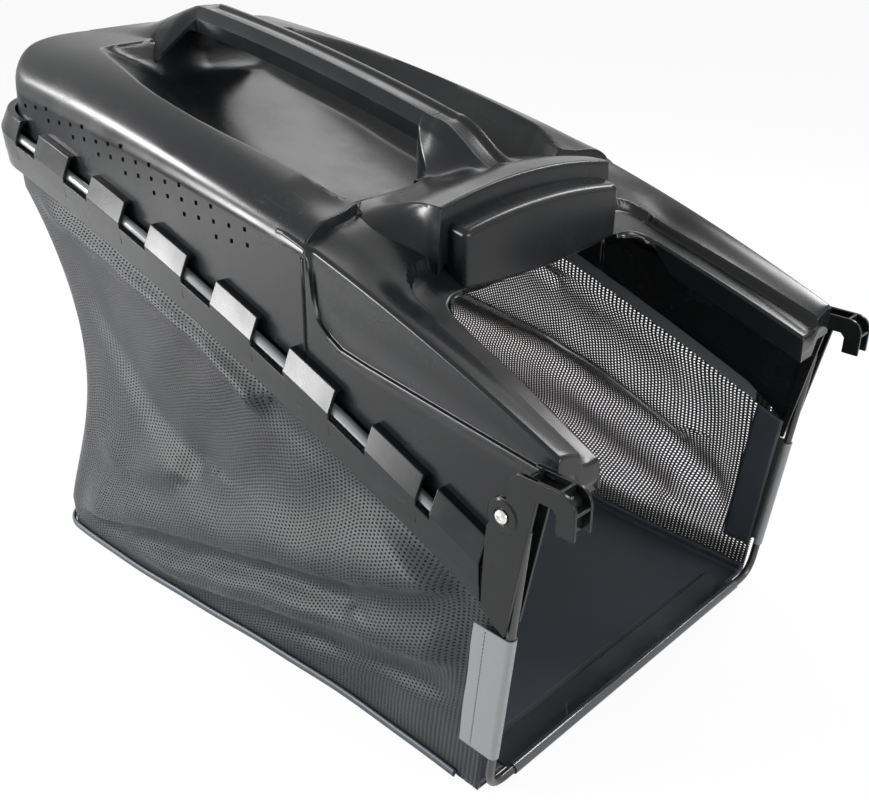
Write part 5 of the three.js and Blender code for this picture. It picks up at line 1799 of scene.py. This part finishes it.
    def build(self, palette: Palette) -> None:
        """Make and dress the bag's pieces.

        Args:
            palette: The materials.
        """
        walls = palette.dress(self.walls(), Slot.NET, "side_panel_left", "side_panel_right", "rear_panel")
        floor = palette.dress(self.floor(), Slot.VINYL, "floor_panel")
        for side, label in SIDES.items():
            band = palette.dress(self.binding(side), Slot.VINYL, f"front_binding_{label}")
        piping = [f"bottom_piping_{label}" for label in ("left", "right", "rear")]
        palette.dress(self.edging(), Slot.VINYL, *piping)
        self.stitches(palette)


# Studio

@dataclass
class Studio:
    """Camera, lights, floor and backdrop."""

    eye: tuple[float, float, float] = (-0.56425, -0.60939, 0.55553)
    right: tuple[float, float, float] = (0.70197695, -0.71219838, -0.00135032)
    up: tuple[float, float, float] = (0.31798173, 0.31172043, 0.89538706)
    lens: float = 42.682

    def camera(self) -> None:
        """Camera at the photograph's viewing angle."""
        data = bpy.data.cameras.new("view")
        data.sensor_fit = "HORIZONTAL"
        data.sensor_width = 36.0
        data.lens = self.lens
        data.clip_start = 0.01
        camera = bpy.data.objects.new("view", data)
        bpy.context.scene.collection.objects.link(camera)
        right, up = Vector(self.right).normalized(), Vector(self.up).normalized()
        back = right.cross(up)
        turn = Matrix((right, up, back)).transposed()
        camera.matrix_world = Matrix.Translation(self.eye) @ turn.to_4x4()
        bpy.context.scene.camera = camera

    def lamp(
        self, name: str, place: Sequence[float], aim: Sequence[float], size: tuple[float, float], watts: float
    ) -> None:
        """Add a soft area lamp.

        Args:
            name: Name of the lamp.
            place: Where it stands, in metres.
            aim: The point that it faces.
            size: Its width and height.
            watts: Its power.
        """
        data = bpy.data.lights.new(name, "AREA")
        data.shape = "RECTANGLE"
        data.size, data.size_y = size
        data.energy = watts
        lamp = bpy.data.objects.new(name, data)
        bpy.context.scene.collection.objects.link(lamp)
        lamp.location = place
        lamp.rotation_mode = "QUATERNION"
        lamp.rotation_quaternion = (Vector(aim) - Vector(place)).to_track_quat("-Z", "Y")

    def floor(self) -> None:
        """Plain pale floor that keeps a soft shadow."""
        bpy.ops.mesh.primitive_plane_add(size=14.0, location=(0, 0, -0.0002))
        floor = bpy.context.object
        floor.name = "studio_floor"
        made, tree, shader = new_material("pale_floor")
        tree.feed(shader, {"Base Color": (0.8, 0.8, 0.8, 1), "Roughness": 0.9})
        glow = tree.add("ShaderNodeEmission", {"Color": (1, 1, 1, 1), "Strength": 1.0})
        path = tree.add("ShaderNodeLightPath")
        seen = tree.math("MULTIPLY", path.outputs["Is Camera Ray"], 0.92)
        mixed = tree.add("ShaderNodeMixShader", {0: seen, 1: shader.outputs[0], 2: glow.outputs[0]})
        tree.feed(made.node_tree.nodes["Material Output"], {"Surface": mixed.outputs[0]})
        floor.data.materials.append(made)

    def world(self) -> None:
        """White backdrop, with a plain grey light from it."""
        world = bpy.data.worlds.new("backdrop")
        bpy.context.scene.world = world
        world.use_nodes = True
        tree = Tree(world.node_tree)
        path = tree.add("ShaderNodeLightPath")
        direct = tree.math("MAXIMUM", path.outputs["Is Camera Ray"], path.outputs["Is Transmission Ray"])
        direct = tree.math("MAXIMUM", direct, path.outputs["Is Glossy Ray"])
        strength = tree.spread(direct, 0.0, 1.0, 0.4, 1.0)
        tree.feed(world.node_tree.nodes["Background"], {"Color": (1, 1, 1, 1), "Strength": strength})

    def build(self) -> None:
        """Set the whole studio up."""
        self.camera()
        self.floor()
        self.world()
        self.lamp("left_rear_box", (-1.76, 1.12, 0.70), (-0.18, 0.03, 0.3), (0.95, 0.36), 62.0)
        self.lamp("rear_box", (-1.15, 1.6, 1.3), (-0.05, 0.05, 0.4), (0.6, 0.28), 28.0)
        self.lamp("overhead_box", (0.95, 1.2, 1.62), (0, 0.1, 0.35), (0.9, 0.9), 7.0)
        self.lamp("edge_box", (1.2, -0.36, 1.38), (0, -0.15, 0.35), (0.3, 1.0), 20.0)
        self.lamp("front_box", (0.1, -2.3, 0.9), (0.0, -0.1, 0.25), (1.2, 0.8), 40.0)
        scene = bpy.context.scene
        scene.view_settings.view_transform = "Standard"


def dress_solids(palette: Palette) -> None:
    """Give the solids that stay shown their finish.

    Args:
        palette: The materials.
    """
    # The rim strips take the same light grey, which is painted reflection on black plastic.
    plan = {f"rim_strip_{label}": Slot.STRIP for label in ("left", "right", "rear")}
    plan |= {f"bracket_nut_{label}": Slot.ZINC for label in SIDES.values()}
    for node, slot in plan.items():
        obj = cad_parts[node]
        if not obj.material_slots:
            obj.data.materials.append(palette.made[slot])
        for place in obj.material_slots:
            place.material = palette.made[slot]
        LOG.info("%s: dressed", node)


def main() -> None:
    """Build the pieces in order."""
    logging.basicConfig(level=logging.INFO, format="%(name)s %(message)s")
    palette = Palette()
    palette.build()
    Studio().build()
    cover = TopCover()
    cover.build(palette)
    WireFrame().build(palette, cover)
    for side in SIDES:
        HookBracket(side).build(palette)
    Bag().build(palette)
    dress_solids(palette)


if __name__ == "__main__":
    main()
